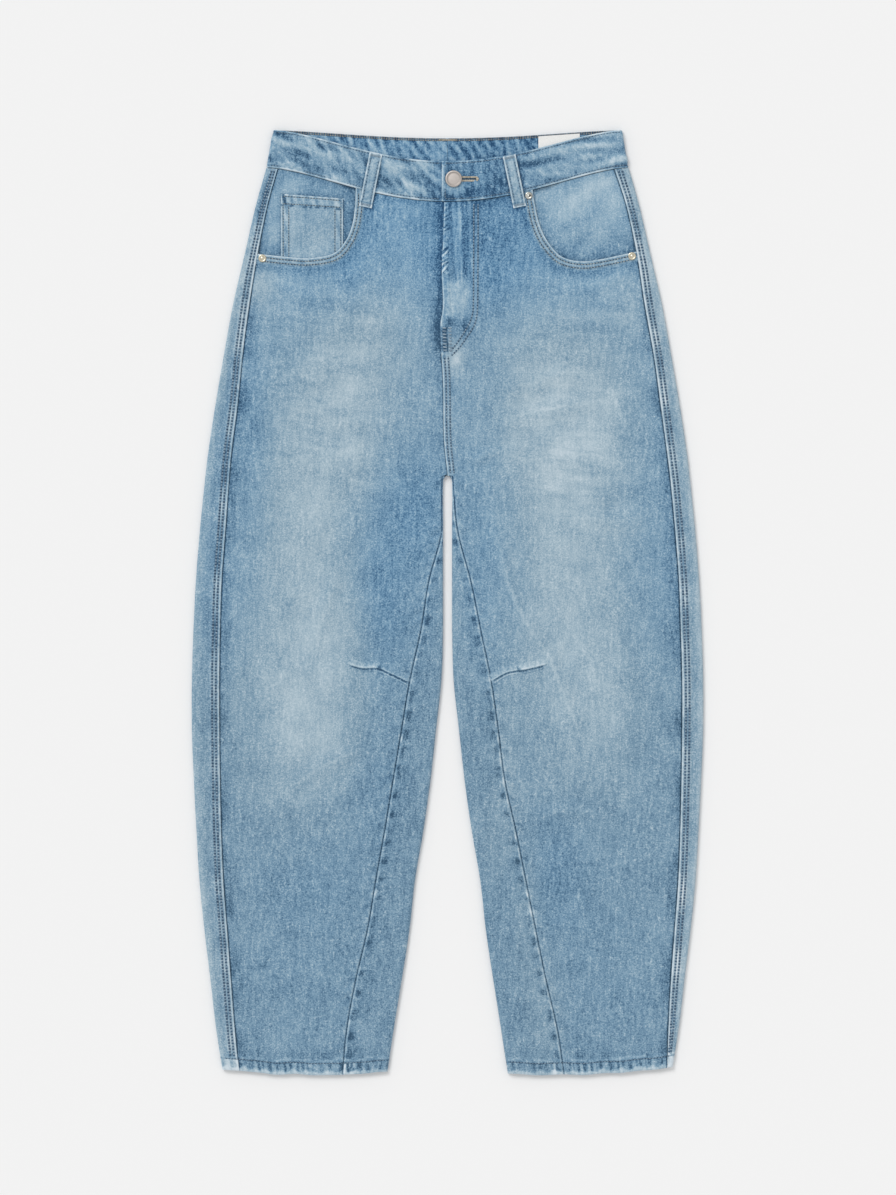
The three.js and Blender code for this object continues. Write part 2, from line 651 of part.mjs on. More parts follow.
// Front loops lie over the band and are sewn down on the front under its seam.
function addFrontLoop(side) {
  const loop = frontLoops[side];
  const at = (t, z) => ({ x: lerp(loop.topX, loop.bottomX, t), y: lerp(loop.topY, loop.bottomY, t), z });
  const over = band.height + Math.max(0, bandLift(side, loop.topX - loopSize.width / 2)) + seamGap + 0.2;
  const down = layFlat + seamGap;
  const route = [at(0, over), at(0.1, over), at(0.3, over + 0.6), at(0.55, over + 0.4), at(0.72, over), at(0.84, down), at(1, down)];
  place("belt_loop_front_" + side, strap(route, loopSize.width, loopSize.thick), "denim");
}

function addBackLoop(side) {
  const x = backLoopX[side];
  const top = bandEdge(x / band.topHalf, 1, false);
  const seam = bandEdge(x / band.seamHalf, 0, false);
  const route = [
    { x, y: top.y - 0.5, z: 0 },
    { x, y: seam.y + 0.5, z: 0 },
  ];
  place("belt_loop_back_" + side, strap(route, loopSize.width, loopSize.thick), "denim");
}

// A closed zip lying under the fly: tape, a raised row of teeth and the slider at its top.
function addZip() {
  const { x, width, tape, teeth, height, fromY, toY } = zipSize;
  const z = clothThick + seamGap;
  const tapeBox = new THREE.BoxGeometry(width, toY - fromY, tape).translate(x, (fromY + toY) / 2, z + tape / 2);
  const teethBox = new THREE.BoxGeometry(teeth, toY - fromY - 8, height).translate(x, (fromY + toY) / 2, z + height / 2);
  const slider = new THREE.BoxGeometry(8, 11, height + 0.2).translate(x, toY - 12, z + height / 2 + 0.1);
  place("zip", geometryOf(solidOf(tapeBox).add(solidOf(teethBox)).add(solidOf(slider))), "zip");
}

function addLabel() {
  const top = bandEdge(labelSize.x / band.topHalf, 1, false);
  const box = new THREE.BoxGeometry(labelSize.width, labelSize.height, labelSize.thick);
  const y = top.y - labelSize.height / 2 - 1;
  place("label", box.translate(labelSize.x, y, band.thick + seamGap + labelSize.thick / 2), "label");
}

for (const side of ["left", "right"]) {
  addBackPanel(side);
  addFrontPanel(side);
  addWaistband(side);
  addFacing(side);
  addFrontLoop(side);
}
for (const side of Object.keys(backLoopX)) addBackLoop(side);
addCoinPocket();
addZip();
addButton();
addRivets();
addLabel();

export default trousers;
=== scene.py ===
# Barrel leg trousers in light washed denim, laid flat with the front up, on a pale floor.
import math

import bmesh
import bpy
import numpy as np
from mathutils import Matrix


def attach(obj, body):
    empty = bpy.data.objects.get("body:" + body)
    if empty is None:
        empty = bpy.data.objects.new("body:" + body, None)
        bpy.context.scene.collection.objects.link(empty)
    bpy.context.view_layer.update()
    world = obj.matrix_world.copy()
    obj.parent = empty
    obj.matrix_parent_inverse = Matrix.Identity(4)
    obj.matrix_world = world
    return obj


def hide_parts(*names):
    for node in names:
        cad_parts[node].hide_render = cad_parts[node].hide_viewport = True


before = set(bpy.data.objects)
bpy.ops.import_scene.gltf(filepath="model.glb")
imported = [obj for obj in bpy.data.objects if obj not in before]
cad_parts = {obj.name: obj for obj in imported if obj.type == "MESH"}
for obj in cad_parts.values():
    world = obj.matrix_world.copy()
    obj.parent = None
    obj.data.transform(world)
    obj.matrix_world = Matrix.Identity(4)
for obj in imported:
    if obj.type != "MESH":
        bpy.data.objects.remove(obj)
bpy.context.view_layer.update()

print("frame loaded")
# Sizes below are in millimetres, and turn into metres when a mesh is written. The floor's size and the
# camera's distance are in metres
mm = 0.001
sides = {"left": -1, "right": 1}

# Measures that several pieces share. The foot is the level of the hems before they bend
cloth = {
    "thick": 1.0, "seamGap": 0.3, "waistGap": 0.5, "lay": 5.0,
    "foot": -500, "hemDepth": 14, "hemExtra": 0.8, "hemRow": 12.3,
    "cutFront": (258, 965), "cutBack": (335, 965),
}
band = {
    "thick": 2.4, "height": 6.4, "topY": 501.8, "topHalf": 185.3, "seamY": 461.9, "seamHalf": 192.4,
    "frontTopDip": 33, "frontSeamDip": 36, "backTopDip": 8.5, "backSeamDip": 9.5, "dipPower": 1.7,
    "lowRow": 2.6, "highRow": 2.2, "foldX": 189, "backLength": 190, "turnings": 12, "cutDepth": 41,
}
bandWidth = band["topY"] - band["seamY"]
halfGap = cloth["seamGap"] / 2
lap = {"bandEndX": -6.4, "underEndX": 32, "underDrop": 1.1, "overRise": 1.6, "rampFrom": 36, "rampTo": 78}
fly = {"underX": 8, "footY": 266, "rise": 1.6, "riseWidth": 30}
crotch = {"y": 134.5, "round": 6}

legColumns = ("y", "outline", "gap", "outseamLeft", "outseamRight", "inseamLeft", "inseamRight")
legRows = [
    (462, 192.4, 0, 179.8, 176.5, 1, 1),
    (422, 203.6, 0, 190.8, 189.4, 1, 1),
    (369, 215.8, 0, 201.6, 201.0, 1, 1),
    (316, 228.0, 0, 210.2, 209.2, 1, 1),
    (263, 237.6, 0, 217.2, 218.6, 1, 1),
    (210, 246.6, 0, 222.6, 226.0, 1, 1),
    (157, 254.6, 2, 229.4, 233.1, 3, 3),
    (128, 257.9, 4.8, 231.8, 236.6, 5.8, 5.8),
    (77, 263.1, 4.8, 235.5, 241.4, 5.9, 10.7),
    (24, 267.3, 4.8, 239.4, 245.4, 19.5, 24.5),
    (-29, 270.0, 4.8, 241.2, 247.4, 28.2, 35.3),
    (-82, 271.6, 6.4, 242.0, 248.9, 39.9, 46.3),
    (-136, 271.6, 12.2, 241.9, 248.9, 49.0, 54.1),
    (-189, 269.5, 18.1, 241.2, 248.1, 57.9, 61.0),
    (-242, 266.8, 25.5, 240.0, 246.9, 66.7, 72.6),
    (-295, 263.6, 34.5, 237.8, 244.8, 76.2, 83.3),
    (-348, 258.3, 40.4, 233.7, 240.9, 85.2, 93.9),
    (-401, 251.9, 48.4, 229.7, 237.0, 97.5, 104.8),
    (-454, 246.1, 56.9, 225.6, 234.3, 107.2, 117.0),
    (-503, 238.9, 64.2, 220.8, 233.2, 111.8, 124.2),
]
legTable = {name: np.array([row[i] for row in legRows], float) for i, name in enumerate(legColumns)}
hemLines = {"left": (-498.5, -501.7, -495.5), "right": (-500.5, -501, -493.5)}  # inner, middle, outer
flyEdge = [(446, -4), (424, -3.7), (383, -5), (353, -6.2), (315, -5), (295, -7.6), (270, -7), (236, -5),
           (173, -3.9), (134.5, 0)]  # y, x

pocketEdges = {
    "left": [(-97.5, 446), (-97.8, 433), (-98.5, 419), (-101.5, 401), (-108, 385), (-121, 371), (-146, 366),
             (-169, 367), (-206, 371)],
    "right": [(90, 446), (91, 434), (93, 422), (97, 404), (105.5, 385), (120.5, 368), (141, 362.5),
              (164, 365), (206, 374)],
}
darts = {
    "left": [(-41, -86), (-57.5, -78), (-74, -71), (-92, -70.5), (-112, -64.5)],
    "right": [(47, -84.5), (64.5, -75), (84, -72), (112, -65)],
}
loops = {
    "width": 13.8, "thick": 1.3, "rowX": 4.3,
    "left": {"top": (-76, 476.5), "bottom": (-87.3, 420)},
    "right": {"top": (65.4, 474.5), "bottom": (76.7, 420)},
    "backX": {"left": -70, "centre": 0, "right": 70},
}

# Creases placed on the fronts: start, a point it bends past, end, width and height
creases = [
    ((45, 100), (70, 5), (111, -63), 7, 1.5),
    ((104, -48), (122, -96), (141, -140), 8, 1.3),
    ((146, 92), (180, 86), (210, 92), 8, 1.0),
    ((60, 190), (110, 204), (170, 216), 9, 0.8),
    ((48, 226), (100, 236), (150, 252), 10, 0.6),
    ((90, -226), (128, -220), (168, -225), 6, 0.8),
    ((70, -352), (120, -344), (190, -356), 9, 0.6),
    ((18, 158), (32, 152), (44, 166), 5, 0.8),
    ((30, 150), (52, 160), (72, 156), 5, 0.6),
    ((-58, 182), (-110, 196), (-166, 214), 10, 0.7),
    ((-60, 236), (-110, 250), (-170, 262), 10, 0.5),
    ((-92, 124), (-118, 30), (-152, -72), 10, 0.9),
    ((-66, -150), (-112, -164), (-172, -198), 8, 0.7),
    ((-118, -250), (-150, -262), (-200, -252), 8, 0.6),
    ((-80, -340), (-130, -352), (-190, -340), 9, 0.5),
    ((-196, 350), (-170, 330), (-140, 322), 5, 0.7),
    ((196, 352), (160, 336), (120, 330), 6, 0.6),
]

# Washed-out and dark places of the dye, and a few places of painted shade: x, y, spread along x and y, how
# much lighter
fadesAndShades = [
    (2, 14, 17, 100, 0.1),
    (7, 266, 12, 18, 0.13),
    (-131, -157, 40, 40, 0.08),
    (-104, 352, 14, 26, -0.09),
    (56, -242, 16, 40, 0.08),
    (-105, 230, 72, 90, 0.16),
    (-85, 300, 44, 40, 0.08),
    (-158, 70, 54, 130, 0.19),
    (-162, -115, 56, 85, 0.19),
    (-112, -40, 36, 90, 0.09),
    (-206, 340, 26, 36, 0.24),
    (-104, 141, 26, 36, 0.08),
    (30, 398, 12, 34, -0.09),
    (86, -320, 14, 80, 0.1),
    (104, -440, 16, 50, 0.1),
    (124, 220, 76, 95, 0.2),
    (128, 90, 66, 110, 0.18),
    (132, -30, 60, 90, 0.1),
    (150, -110, 50, 80, 0.14),
    (200, 335, 32, 46, 0.12),
    (62, -180, 12, 80, 0.07),
    # Painted shade below the band near the fly and the right front loop, partly dark dye
    (54, 385, 28, 58, -0.16),
    (-14, 402, 20, 36, -0.08),
    (160, 396, 26, 24, -0.08),
    (-30, 96, 34, 56, -0.12),
    (-70, 0, 26, 100, -0.12),
    (-80, -190, 36, 70, -0.07),
    (40, 60, 20, 90, -0.05),
    (108, -285, 40, 60, -0.09),
    (-208, 180, 18, 130, -0.08),
    (-150, -400, 80, 110, -0.04),
    (170, -400, 80, 110, -0.04),
    (-140, -300, 60, 50, -0.05),
]

# Thin pale lines where the cloth was creased in the wash: start, bend, end, width and strength
marks = [
    ((45, 100), (70, 5), (111, -63), 1.5, 0.3),
    ((52, 92), (84, 12), (128, -58), 1.3, 0.16),
    ((104, -48), (122, -96), (141, -140), 1.5, 0.26),
    ((173, 230), (180, 211), (186, 190), 1.3, 0.3),
    ((196, 224), (206, 200), (206, 180), 1.3, 0.22),
    ((18, 158), (32, 152), (44, 166), 1.6, 0.22),
    ((30, 150), (52, 160), (72, 156), 1.4, 0.18),
    ((60, 196), (110, 206), (168, 214), 1.6, 0.2),
    ((96, -226), (128, -220), (168, -225), 1.6, 0.24),
    ((-92, 124), (-118, 30), (-152, -72), 1.5, 0.12),
    ((-66, -150), (-112, -164), (-172, -198), 1.5, 0.16),
    ((-192, 357), (-176, 341), (-150, 333), 1.8, 0.2),
    ((-190, 353), (-182, 330), (-160, 306), 1.8, 0.16),
    ((-180, 360), (-150, 346), (-120, 344), 1.8, 0.14),
    ((188, 354), (160, 340), (118, 334), 1.8, 0.16),
    ((-150, -232), (-168, -206), (-192, -196), 1.4, 0.16),
    ((88, -300), (118, -330), (130, -378), 1.4, 0.16),
    ((-120, -330), (-138, -300), (-150, -262), 1.4, 0.14),
    ((150, 92), (180, 86), (208, 92), 1.5, 0.18),
]


def ease(x, a, b):
    t = np.clip((np.asarray(x, float) - a) / (b - a), 0, 1)
    return t * t * (3 - 2 * t)


def near(distance, width):
    return np.exp(-((np.asarray(distance, float) / width) ** 2))


# Uneven waves along one length, between about -1 and 1
def waver(t, period, seed):
    draw = np.random.default_rng(seed)
    total = 0
    for _ in range(6):
        total += np.sin(2 * math.pi * t / (period * draw.uniform(0.6, 1.7)) + draw.uniform(0, 6.28))
    return total / 2.6


# Uneven waves over a surface, which run across the angle lean
def ripples(x, y, period, seed, lean=0.0, spread=math.pi):
    draw = np.random.default_rng(seed)
    total = 0
    for _ in range(14):
        angle = lean + draw.uniform(-spread, spread) / 2
        length = period * draw.uniform(0.65, 1.6)
        along = x * math.cos(angle) + y * math.sin(angle)
        total += np.sin(2 * math.pi * along / length + draw.uniform(0, 6.28))
    return total / 3.7


# A smooth curve through rows whose first column goes down
def through(ys, values, y):
    slopes = np.empty_like(values)
    slopes[1:-1] = (values[2:] - values[:-2]) / (ys[2:] - ys[:-2])
    slopes[0] = (values[1] - values[0]) / (ys[1] - ys[0])
    slopes[-1] = (values[-1] - values[-2]) / (ys[-1] - ys[-2])
    i = np.clip(np.searchsorted(-ys, -np.asarray(y, float)), 1, len(ys) - 1)
    step = ys[i] - ys[i - 1]
    t = np.clip((y - ys[i - 1]) / step, 0, 1)
    start = values[i - 1] * (2 * t**3 - 3 * t**2 + 1) + slopes[i - 1] * step * (t**3 - 2 * t**2 + t)
    return start + values[i] * (3 * t**2 - 2 * t**3) + slopes[i] * step * (t**3 - t**2)


# Painted shadow: the dark line round a front belt loop, where the loop shades the cloth beside it
def loopShadowAt(x, y):
    shade = 0 * x
    for side in sides:
        top, bottom = np.array(loops[side]["top"]), np.array(loops[side]["bottom"])
        length = np.linalg.norm(bottom - top)
        way = (bottom - top) / length
        along = (x - top[0]) * way[0] + (y - top[1]) * way[1]
        across = np.abs((x - top[0]) * way[1] - (y - top[1]) * way[0])
        outside = np.maximum(across - loops["width"] / 2, along - length)
        shade += near(outside - 0.8, 1.6) * ease(along, -2, 4)
    return shade


def readLegs(column, y):
    return through(legTable["y"], legTable[column], y)


def gapAt(y):
    y = np.asarray(y, float)
    into = np.clip((crotch["y"] - y) / crotch["round"], 0, 1)
    gap = readLegs("gap", np.minimum(y, 128)) * np.sqrt(1 - (1 - into) ** 2)
    return np.where(y >= crotch["y"], 0, gap)


def outlineAt(y):
    return readLegs("outline", y)


def outseamAt(side, y):
    return readLegs("outseam" + side.title(), y)


def inseamAt(side, y):
    return np.maximum(readLegs("inseam" + side.title(), y), gapAt(y) + 1.1)


def flyAt(y):
    rows = np.array(flyEdge, float)
    return through(rows[:, 0], rows[:, 1], y)


def dipAt(x, half, dip):
    return dip * np.clip(1 - (np.asarray(x) / half) ** 2, 0, None) ** band["dipPower"]


def footAt(side, x):
    inner, middle, outer = hemLines[side]
    gap, edge = gapAt(inner), outlineAt(outer)
    across = np.clip((np.abs(x) - gap) / (edge - gap), 0, 1)
    level = inner + (outer - inner) * across + 4 * across * (1 - across) * (middle - (inner + outer) / 2)
    return level + 0.6 * waver(np.abs(x), 44, 35 if side == "left" else 36)


# The height of a row of cloth at x: along the waistband at the top and along the hem at the foot
def rowY(side, plain, x, dip):
    top = band["seamY"] - cloth["waistGap"]
    sunk = dipAt(x, band["seamHalf"], dip) * (1 - ease(top - plain, 0, 190))
    return plain - sunk + (footAt(side, x) - cloth["foot"]) * ease(-plain, 380, 500)


def hemRise(side, x, y):
    depth = cloth["hemDepth"]
    return 1 - ease(y - footAt(side, x), depth, depth + 2)


# Even points along a smooth line through the given ones, with directions and the run so far
def route(points, step=1.5):
    p = np.array(points, float)
    ends = np.vstack([2 * p[0] - p[1], p, 2 * p[-1] - p[-2]])
    fine = []
    for i in range(1, len(ends) - 2):
        a, b, c, d = ends[i - 1:i + 3]
        for t in np.linspace(0, 1, 24, endpoint=False):
            fine.append(0.5 * (2 * b + (c - a) * t + (2 * a - 5 * b + 4 * c - d) * t**2
                               + (3 * b - a - 3 * c + d) * t**3))
    return evenly(np.array(fine + [p[-1]]), step)


def evenly(fine, step=1.5):
    run = np.concatenate([[0], np.cumsum(np.linalg.norm(np.diff(fine, axis=0), axis=1))])
    s = np.linspace(0, run[-1], max(3, int(run[-1] / step) + 1))
    p = np.stack([np.interp(s, run, fine[:, k]) for k in range(fine.shape[1])], axis=1)
    t = np.gradient(p[:, :2], axis=0)
    t /= np.linalg.norm(t, axis=1, keepdims=True)
    return {"p": p, "t": t, "n": np.stack([-t[:, 1], t[:, 0]], axis=1), "s": s}


# Distance from each point to a line, and the run along the line at its nearest point
def distanceTo(line, x, y, reach=30):
    flatX, flatY = np.ravel(x), np.ravel(y)
    p = line["p"][:, :2]
    away, run = np.full(flatX.shape, 1e3), np.zeros(flatX.shape)
    low, high = p.min(0) - reach, p.max(0) + reach
    inside = (flatX > low[0]) & (flatX < high[0]) & (flatY > low[1]) & (flatY < high[1])
    for part in np.array_split(np.nonzero(inside)[0], max(1, int(inside.sum() / 3000))):
        square = (flatX[part, None] - p[:, 0]) ** 2 + (flatY[part, None] - p[:, 1]) ** 2
        best = square.argmin(1)
        away[part] = np.sqrt(square[np.arange(len(part)), best])
        run[part] = line["s"][best]
    return away.reshape(np.shape(x)), run.reshape(np.shape(x))


def flyLine():
    y = np.linspace(425, crotch["y"], 200)
    return evenly(np.stack([flyAt(y), y], axis=1))


# Lines that seams, stitches and creases follow, each worked out once
seamLines = {}
for side in sides:
    seamLines["pocket", side] = route(pocketEdges[side])
    seamLines["dart", side] = route(darts[side])


# A short listed line: the distance to it, the run along it, and a taper towards its ends
def shortLine(kind, points, x, y, step, reach, margin, power):
    if (kind, points[0]) not in seamLines:
        seamLines[kind, points[0]] = route(points, step)
    line = seamLines[kind, points[0]]
    away, run = distanceTo(line, x, y, reach)
    return away, run, np.sin(math.pi * np.clip(run / line["s"][-1], margin, 1 - margin)) ** power


def creaseRise(x, y):
    rise = np.zeros(np.shape(x))
    for *points, width, height in creases:
        away, run, taper = shortLine("crease", points, x, y, 3, 60, 0.02, 0.7)
        wide = width * (1 + 0.25 * waver(run, 60, int(abs(points[0][0] * 7 + points[0][1]))))
        rise += height * taper * (near(away, wide) - 0.45 * near(away - 1.9 * wide, wide))
    return rise


def markWear(x, y):
    wear = np.zeros(np.shape(x))
    for *points, width, strength in marks:
        away, run, taper = shortLine("mark", points, x, y, 1.5, 8, 0.03, 0.5)
        uneven = 1 + 0.2 * waver(run, 12, int(abs(points[0][0] * 3 + points[0][1])))
        wear += 0.9 * strength * near(away, width) * taper * uneven
    return wear


# Height of the upper face of the fronts
def frontTop(side, x, y):
    outward = outseamAt(side, y) - np.abs(x)
    if side == "left":
        inward = np.where(y > crotch["y"], flyAt(y) - x, np.abs(x) - inseamAt(side, y))
        inward = np.where(y > fly["footY"], 40, inward)
    else:
        inward = np.where(y > crotch["y"], x - flyAt(y), x - inseamAt(side, y))
    quiet = ease(inward, 1, 22) * ease(outward, 1, 22) * ease(y - footAt(side, x), 14, 40)
    z = cloth["lay"] + cloth["hemExtra"] * hemRise(side, x, y)
    z += quiet * (creaseRise(x, y) + 0.32 * ripples(x, y, 85, 3) + 0.14 * ripples(x, y, 30, 5))
    z = z - 0.8 * near(outward, 0.8) + 0.2 * near(outward - 4, 3) * waver(y, 9, 11)
    below = ease(fly["footY"] + 4 - y, 0, 8) if side == "left" else 1
    pinch = (0.35 + 0.65 * ease(crotch["y"] - y, -20, 10)) * below
    z = z - pinch * 0.75 * near(inward, 0.8) + pinch * 0.3 * near(inward - 2.2, 1.2)
    z += pinch * 0.42 * near(inward - 6, 5) * waver(y + 0.5 * inward, 14, 17)
    z += hemWaves(side, x, y)
    away, run = distanceTo(seamLines["dart", side], x, y)
    z += 0.5 * near(away, 9) * (1 - ease(run, 50, 82))
    if side == "right":
        across = 1 - ease(x, fly["underX"] + 2, fly["underX"] + 2 + fly["riseWidth"])
        z += fly["rise"] * across * ease(y, fly["footY"] - 40, fly["footY"] - 1)
        z += flyWaves(x, y)
    return z


def flyWaves(x, y):
    inFly = ease(x, -8, -2) * (1 - ease(x, 22, 32)) * ease(y, 262, 285)
    edge = 0.5 * near(x - flyAt(y) - 2, 3) * waver(y, 9, 21) * ease(y, 330, 350) * (1 - ease(y, 395, 410))
    return inFly * 0.35 * waver(x + 0.06 * y, 9, 23) + edge


def hemWaves(side, x, y):
    up = y - footAt(side, x)
    inHem = 1 - ease(up, 11, 14)
    slanted = waver(x + 0.8 * up, 11, 31)
    rounded = -0.55 * near(up, 0.8) - 0.4 * near(up - 12, 0.8)
    return inHem * 0.32 * slanted + rounded + 0.35 * near(up - 16, 6) * waver(x, 26, 33)


# The facing lies high inside a rounded bowl beside the side seam, and low round it
facing = {
    "innerX": 84, "bottomY": 350, "high": 4.7, "low": 2.3, "cut": (126, 114),
    "bowlAt": {"left": -181, "right": 178}, "bowlX": 84, "bowlY": 97, "power": 4.7, "rim": 0.9, "slope": 0.27,
}


def facingTop(side, x, y):
    across = np.abs(x - facing["bowlAt"][side]) / facing["bowlX"]
    across = np.where(np.abs(x) > 179, 0, across)
    down = np.clip(band["seamY"] - y, 0, None) / facing["bowlY"]
    bowl = (across ** facing["power"] + down ** facing["power"]) ** (1 / facing["power"])
    return facing["low"] + (facing["high"] - facing["low"]) * ease(facing["rim"] - bowl, 0, facing["slope"])


# A place on the band, at a share of its half width along and a share of its height up
def bandEdge(along, share, front):
    half = band["seamHalf"] + (band["topHalf"] - band["seamHalf"]) * share
    level = band["seamY"] + (band["topY"] - band["seamY"]) * share
    names = ("frontSeamDip", "frontTopDip") if front else ("backSeamDip", "backTopDip")
    dip = band[names[0]] + (band[names[1]] - band[names[0]]) * share
    x = along * half
    return x, level - dipAt(x, half, dip)


# How much higher the upper end of the band lies over the lower end, or how much lower that one lies
def bandLift(side, x):
    if side == "left":
        return -lap["underDrop"] * ease(x, -50, -12)
    return lap["overRise"] * (1 - ease(x, lap["rampFrom"], lap["rampTo"]))


def stacked(x, y, z):
    return np.stack(np.broadcast_arrays(x, y, z), axis=-1)


def addObject(name, data):
    made = bpy.data.objects.new(name, data)
    bpy.context.scene.collection.objects.link(made)
    return made


def meshFrom(bm, name):
    mesh = bpy.data.meshes.new(name)
    bm.to_mesh(mesh)
    bm.free()
    return mesh


def addField(mesh, name, values):
    layer = mesh.attributes.new(name, "FLOAT", "POINT")
    layer.data.foreach_set("value", values.astype(np.float32))


# A piece from a grid of places, written over a mesh grid; fields become attributes of the same name
def gridPiece(name, places, fields, thick=0, upAt=None, closed=False):
    if upAt:
        r, c = upAt
        a, b = places[r, c + 1] - places[r, c], places[r + 1, c] - places[r, c]
        if a[0] * b[1] - a[1] * b[0] < 0:
            places = places[:, ::-1]
            fields = {key: value[:, ::-1] for key, value in fields.items()}
    rows, columns = places.shape[:2]
    bm = bmesh.new()
    bmesh.ops.create_grid(bm, x_segments=columns - 1, y_segments=rows - 1, size=1)
    mesh = meshFrom(bm, name)
    co = np.empty(len(mesh.vertices) * 3)
    mesh.vertices.foreach_get("co", co)
    co = co.reshape(-1, 3)
    i = np.rint((co[:, 0] + 1) / 2 * (columns - 1)).astype(int)
    j = np.rint((co[:, 1] + 1) / 2 * (rows - 1)).astype(int)
    mesh.vertices.foreach_set("co", (places[j, i] * mm).ravel())
    for key, value in fields.items():
        addField(mesh, key, np.broadcast_to(value, (rows, columns))[j, i])
    if closed:
        closeTube(mesh)
    piece = addObject(name, mesh)
    if thick:
        wall = piece.modifiers.new("wall", "SOLIDIFY")
        wall.thickness = thick * mm
        wall.offset = -1
        applyAll(piece)
    shadeSoft(piece)
    return piece


def closeTube(mesh):
    bm = bmesh.new()
    bm.from_mesh(mesh)
    bmesh.ops.remove_doubles(bm, verts=bm.verts, dist=0.02 * mm)
    rims = [edge for edge in bm.edges if edge.is_boundary]
    bmesh.ops.holes_fill(bm, edges=rims, sides=0)
    bmesh.ops.recalc_face_normals(bm, faces=bm.faces)
    bm.to_mesh(mesh)
    bm.free()


def applyAll(piece):
    shown = piece.evaluated_get(bpy.context.evaluated_depsgraph_get())
    finished = bpy.data.meshes.new_from_object(shown)
    piece.modifiers.clear()
    piece.data = finished


def shadeSoft(piece, angle=50):
    piece.data.polygons.foreach_set("use_smooth", [True] * len(piece.data.polygons))
    piece.data.set_sharp_from_angle(angle=math.radians(angle))


# Cuts a raised outline out of a closed piece, from the height low to high
def cutOutline(piece, outline, low=2, high=12):
    bm = bmesh.new()
    face = bm.faces.new([bm.verts.new((x * mm, y * mm, low * mm)) for x, y in outline])
    lifted = bmesh.ops.extrude_face_region(bm, geom=[face])
    top = [v for v in lifted["geom"] if isinstance(v, bmesh.types.BMVert)]
    bmesh.ops.translate(bm, verts=top, vec=(0, 0, (high - low) * mm))
    bmesh.ops.recalc_face_normals(bm, faces=bm.faces)
    cutter = addObject("cutter", meshFrom(bm, "cutter"))
    cut = piece.modifiers.new("cut", "BOOLEAN")
    cut.object = cutter
    cut.operation = "DIFFERENCE"
    cut.solver = "EXACT"
    applyAll(piece)
    bpy.data.objects.remove(cutter)
    shadeSoft(piece)


# Gives a finished piece its paint, states its body, and hides the node that it replaces
def enter(piece, paint, node=None):
    piece.data.materials.clear()
    piece.data.materials.append(paint)
    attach(piece, "root")
    if node:
        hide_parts(node)


# Enters a cloth piece; the area worked out is that of one face of the cloth, at most its flat cut
def layCloth(piece, node, flat, paint):
    enter(piece, paint, node)
    oneFace = sum(face.area for face in piece.data.polygons) / 2
    area = min(oneFace, flat[0] * flat[1] * mm * mm)
    flat[0] * mm
    flat[1] * mm


# How washed out the dye is at a place, less where painted shade lies
def fadeAndShadeAt(x, y):
    total = np.zeros(np.shape(x))
    for cx, cy, wide, tall, amount in fadesAndShades:
        total += amount * np.exp(-(((x - cx) / wide) ** 2) - ((y - cy) / tall) ** 2)
    return total


def beforeSeam(x, y):
    return band["seamY"] - dipAt(x, band["seamHalf"], band["frontSeamDip"]) - y


# A soft spot round one place, with its reach along x and y
def spot(x, y, atX, atY, wide, tall):
    return near(x - atX, wide) * near(y - atY, tall)
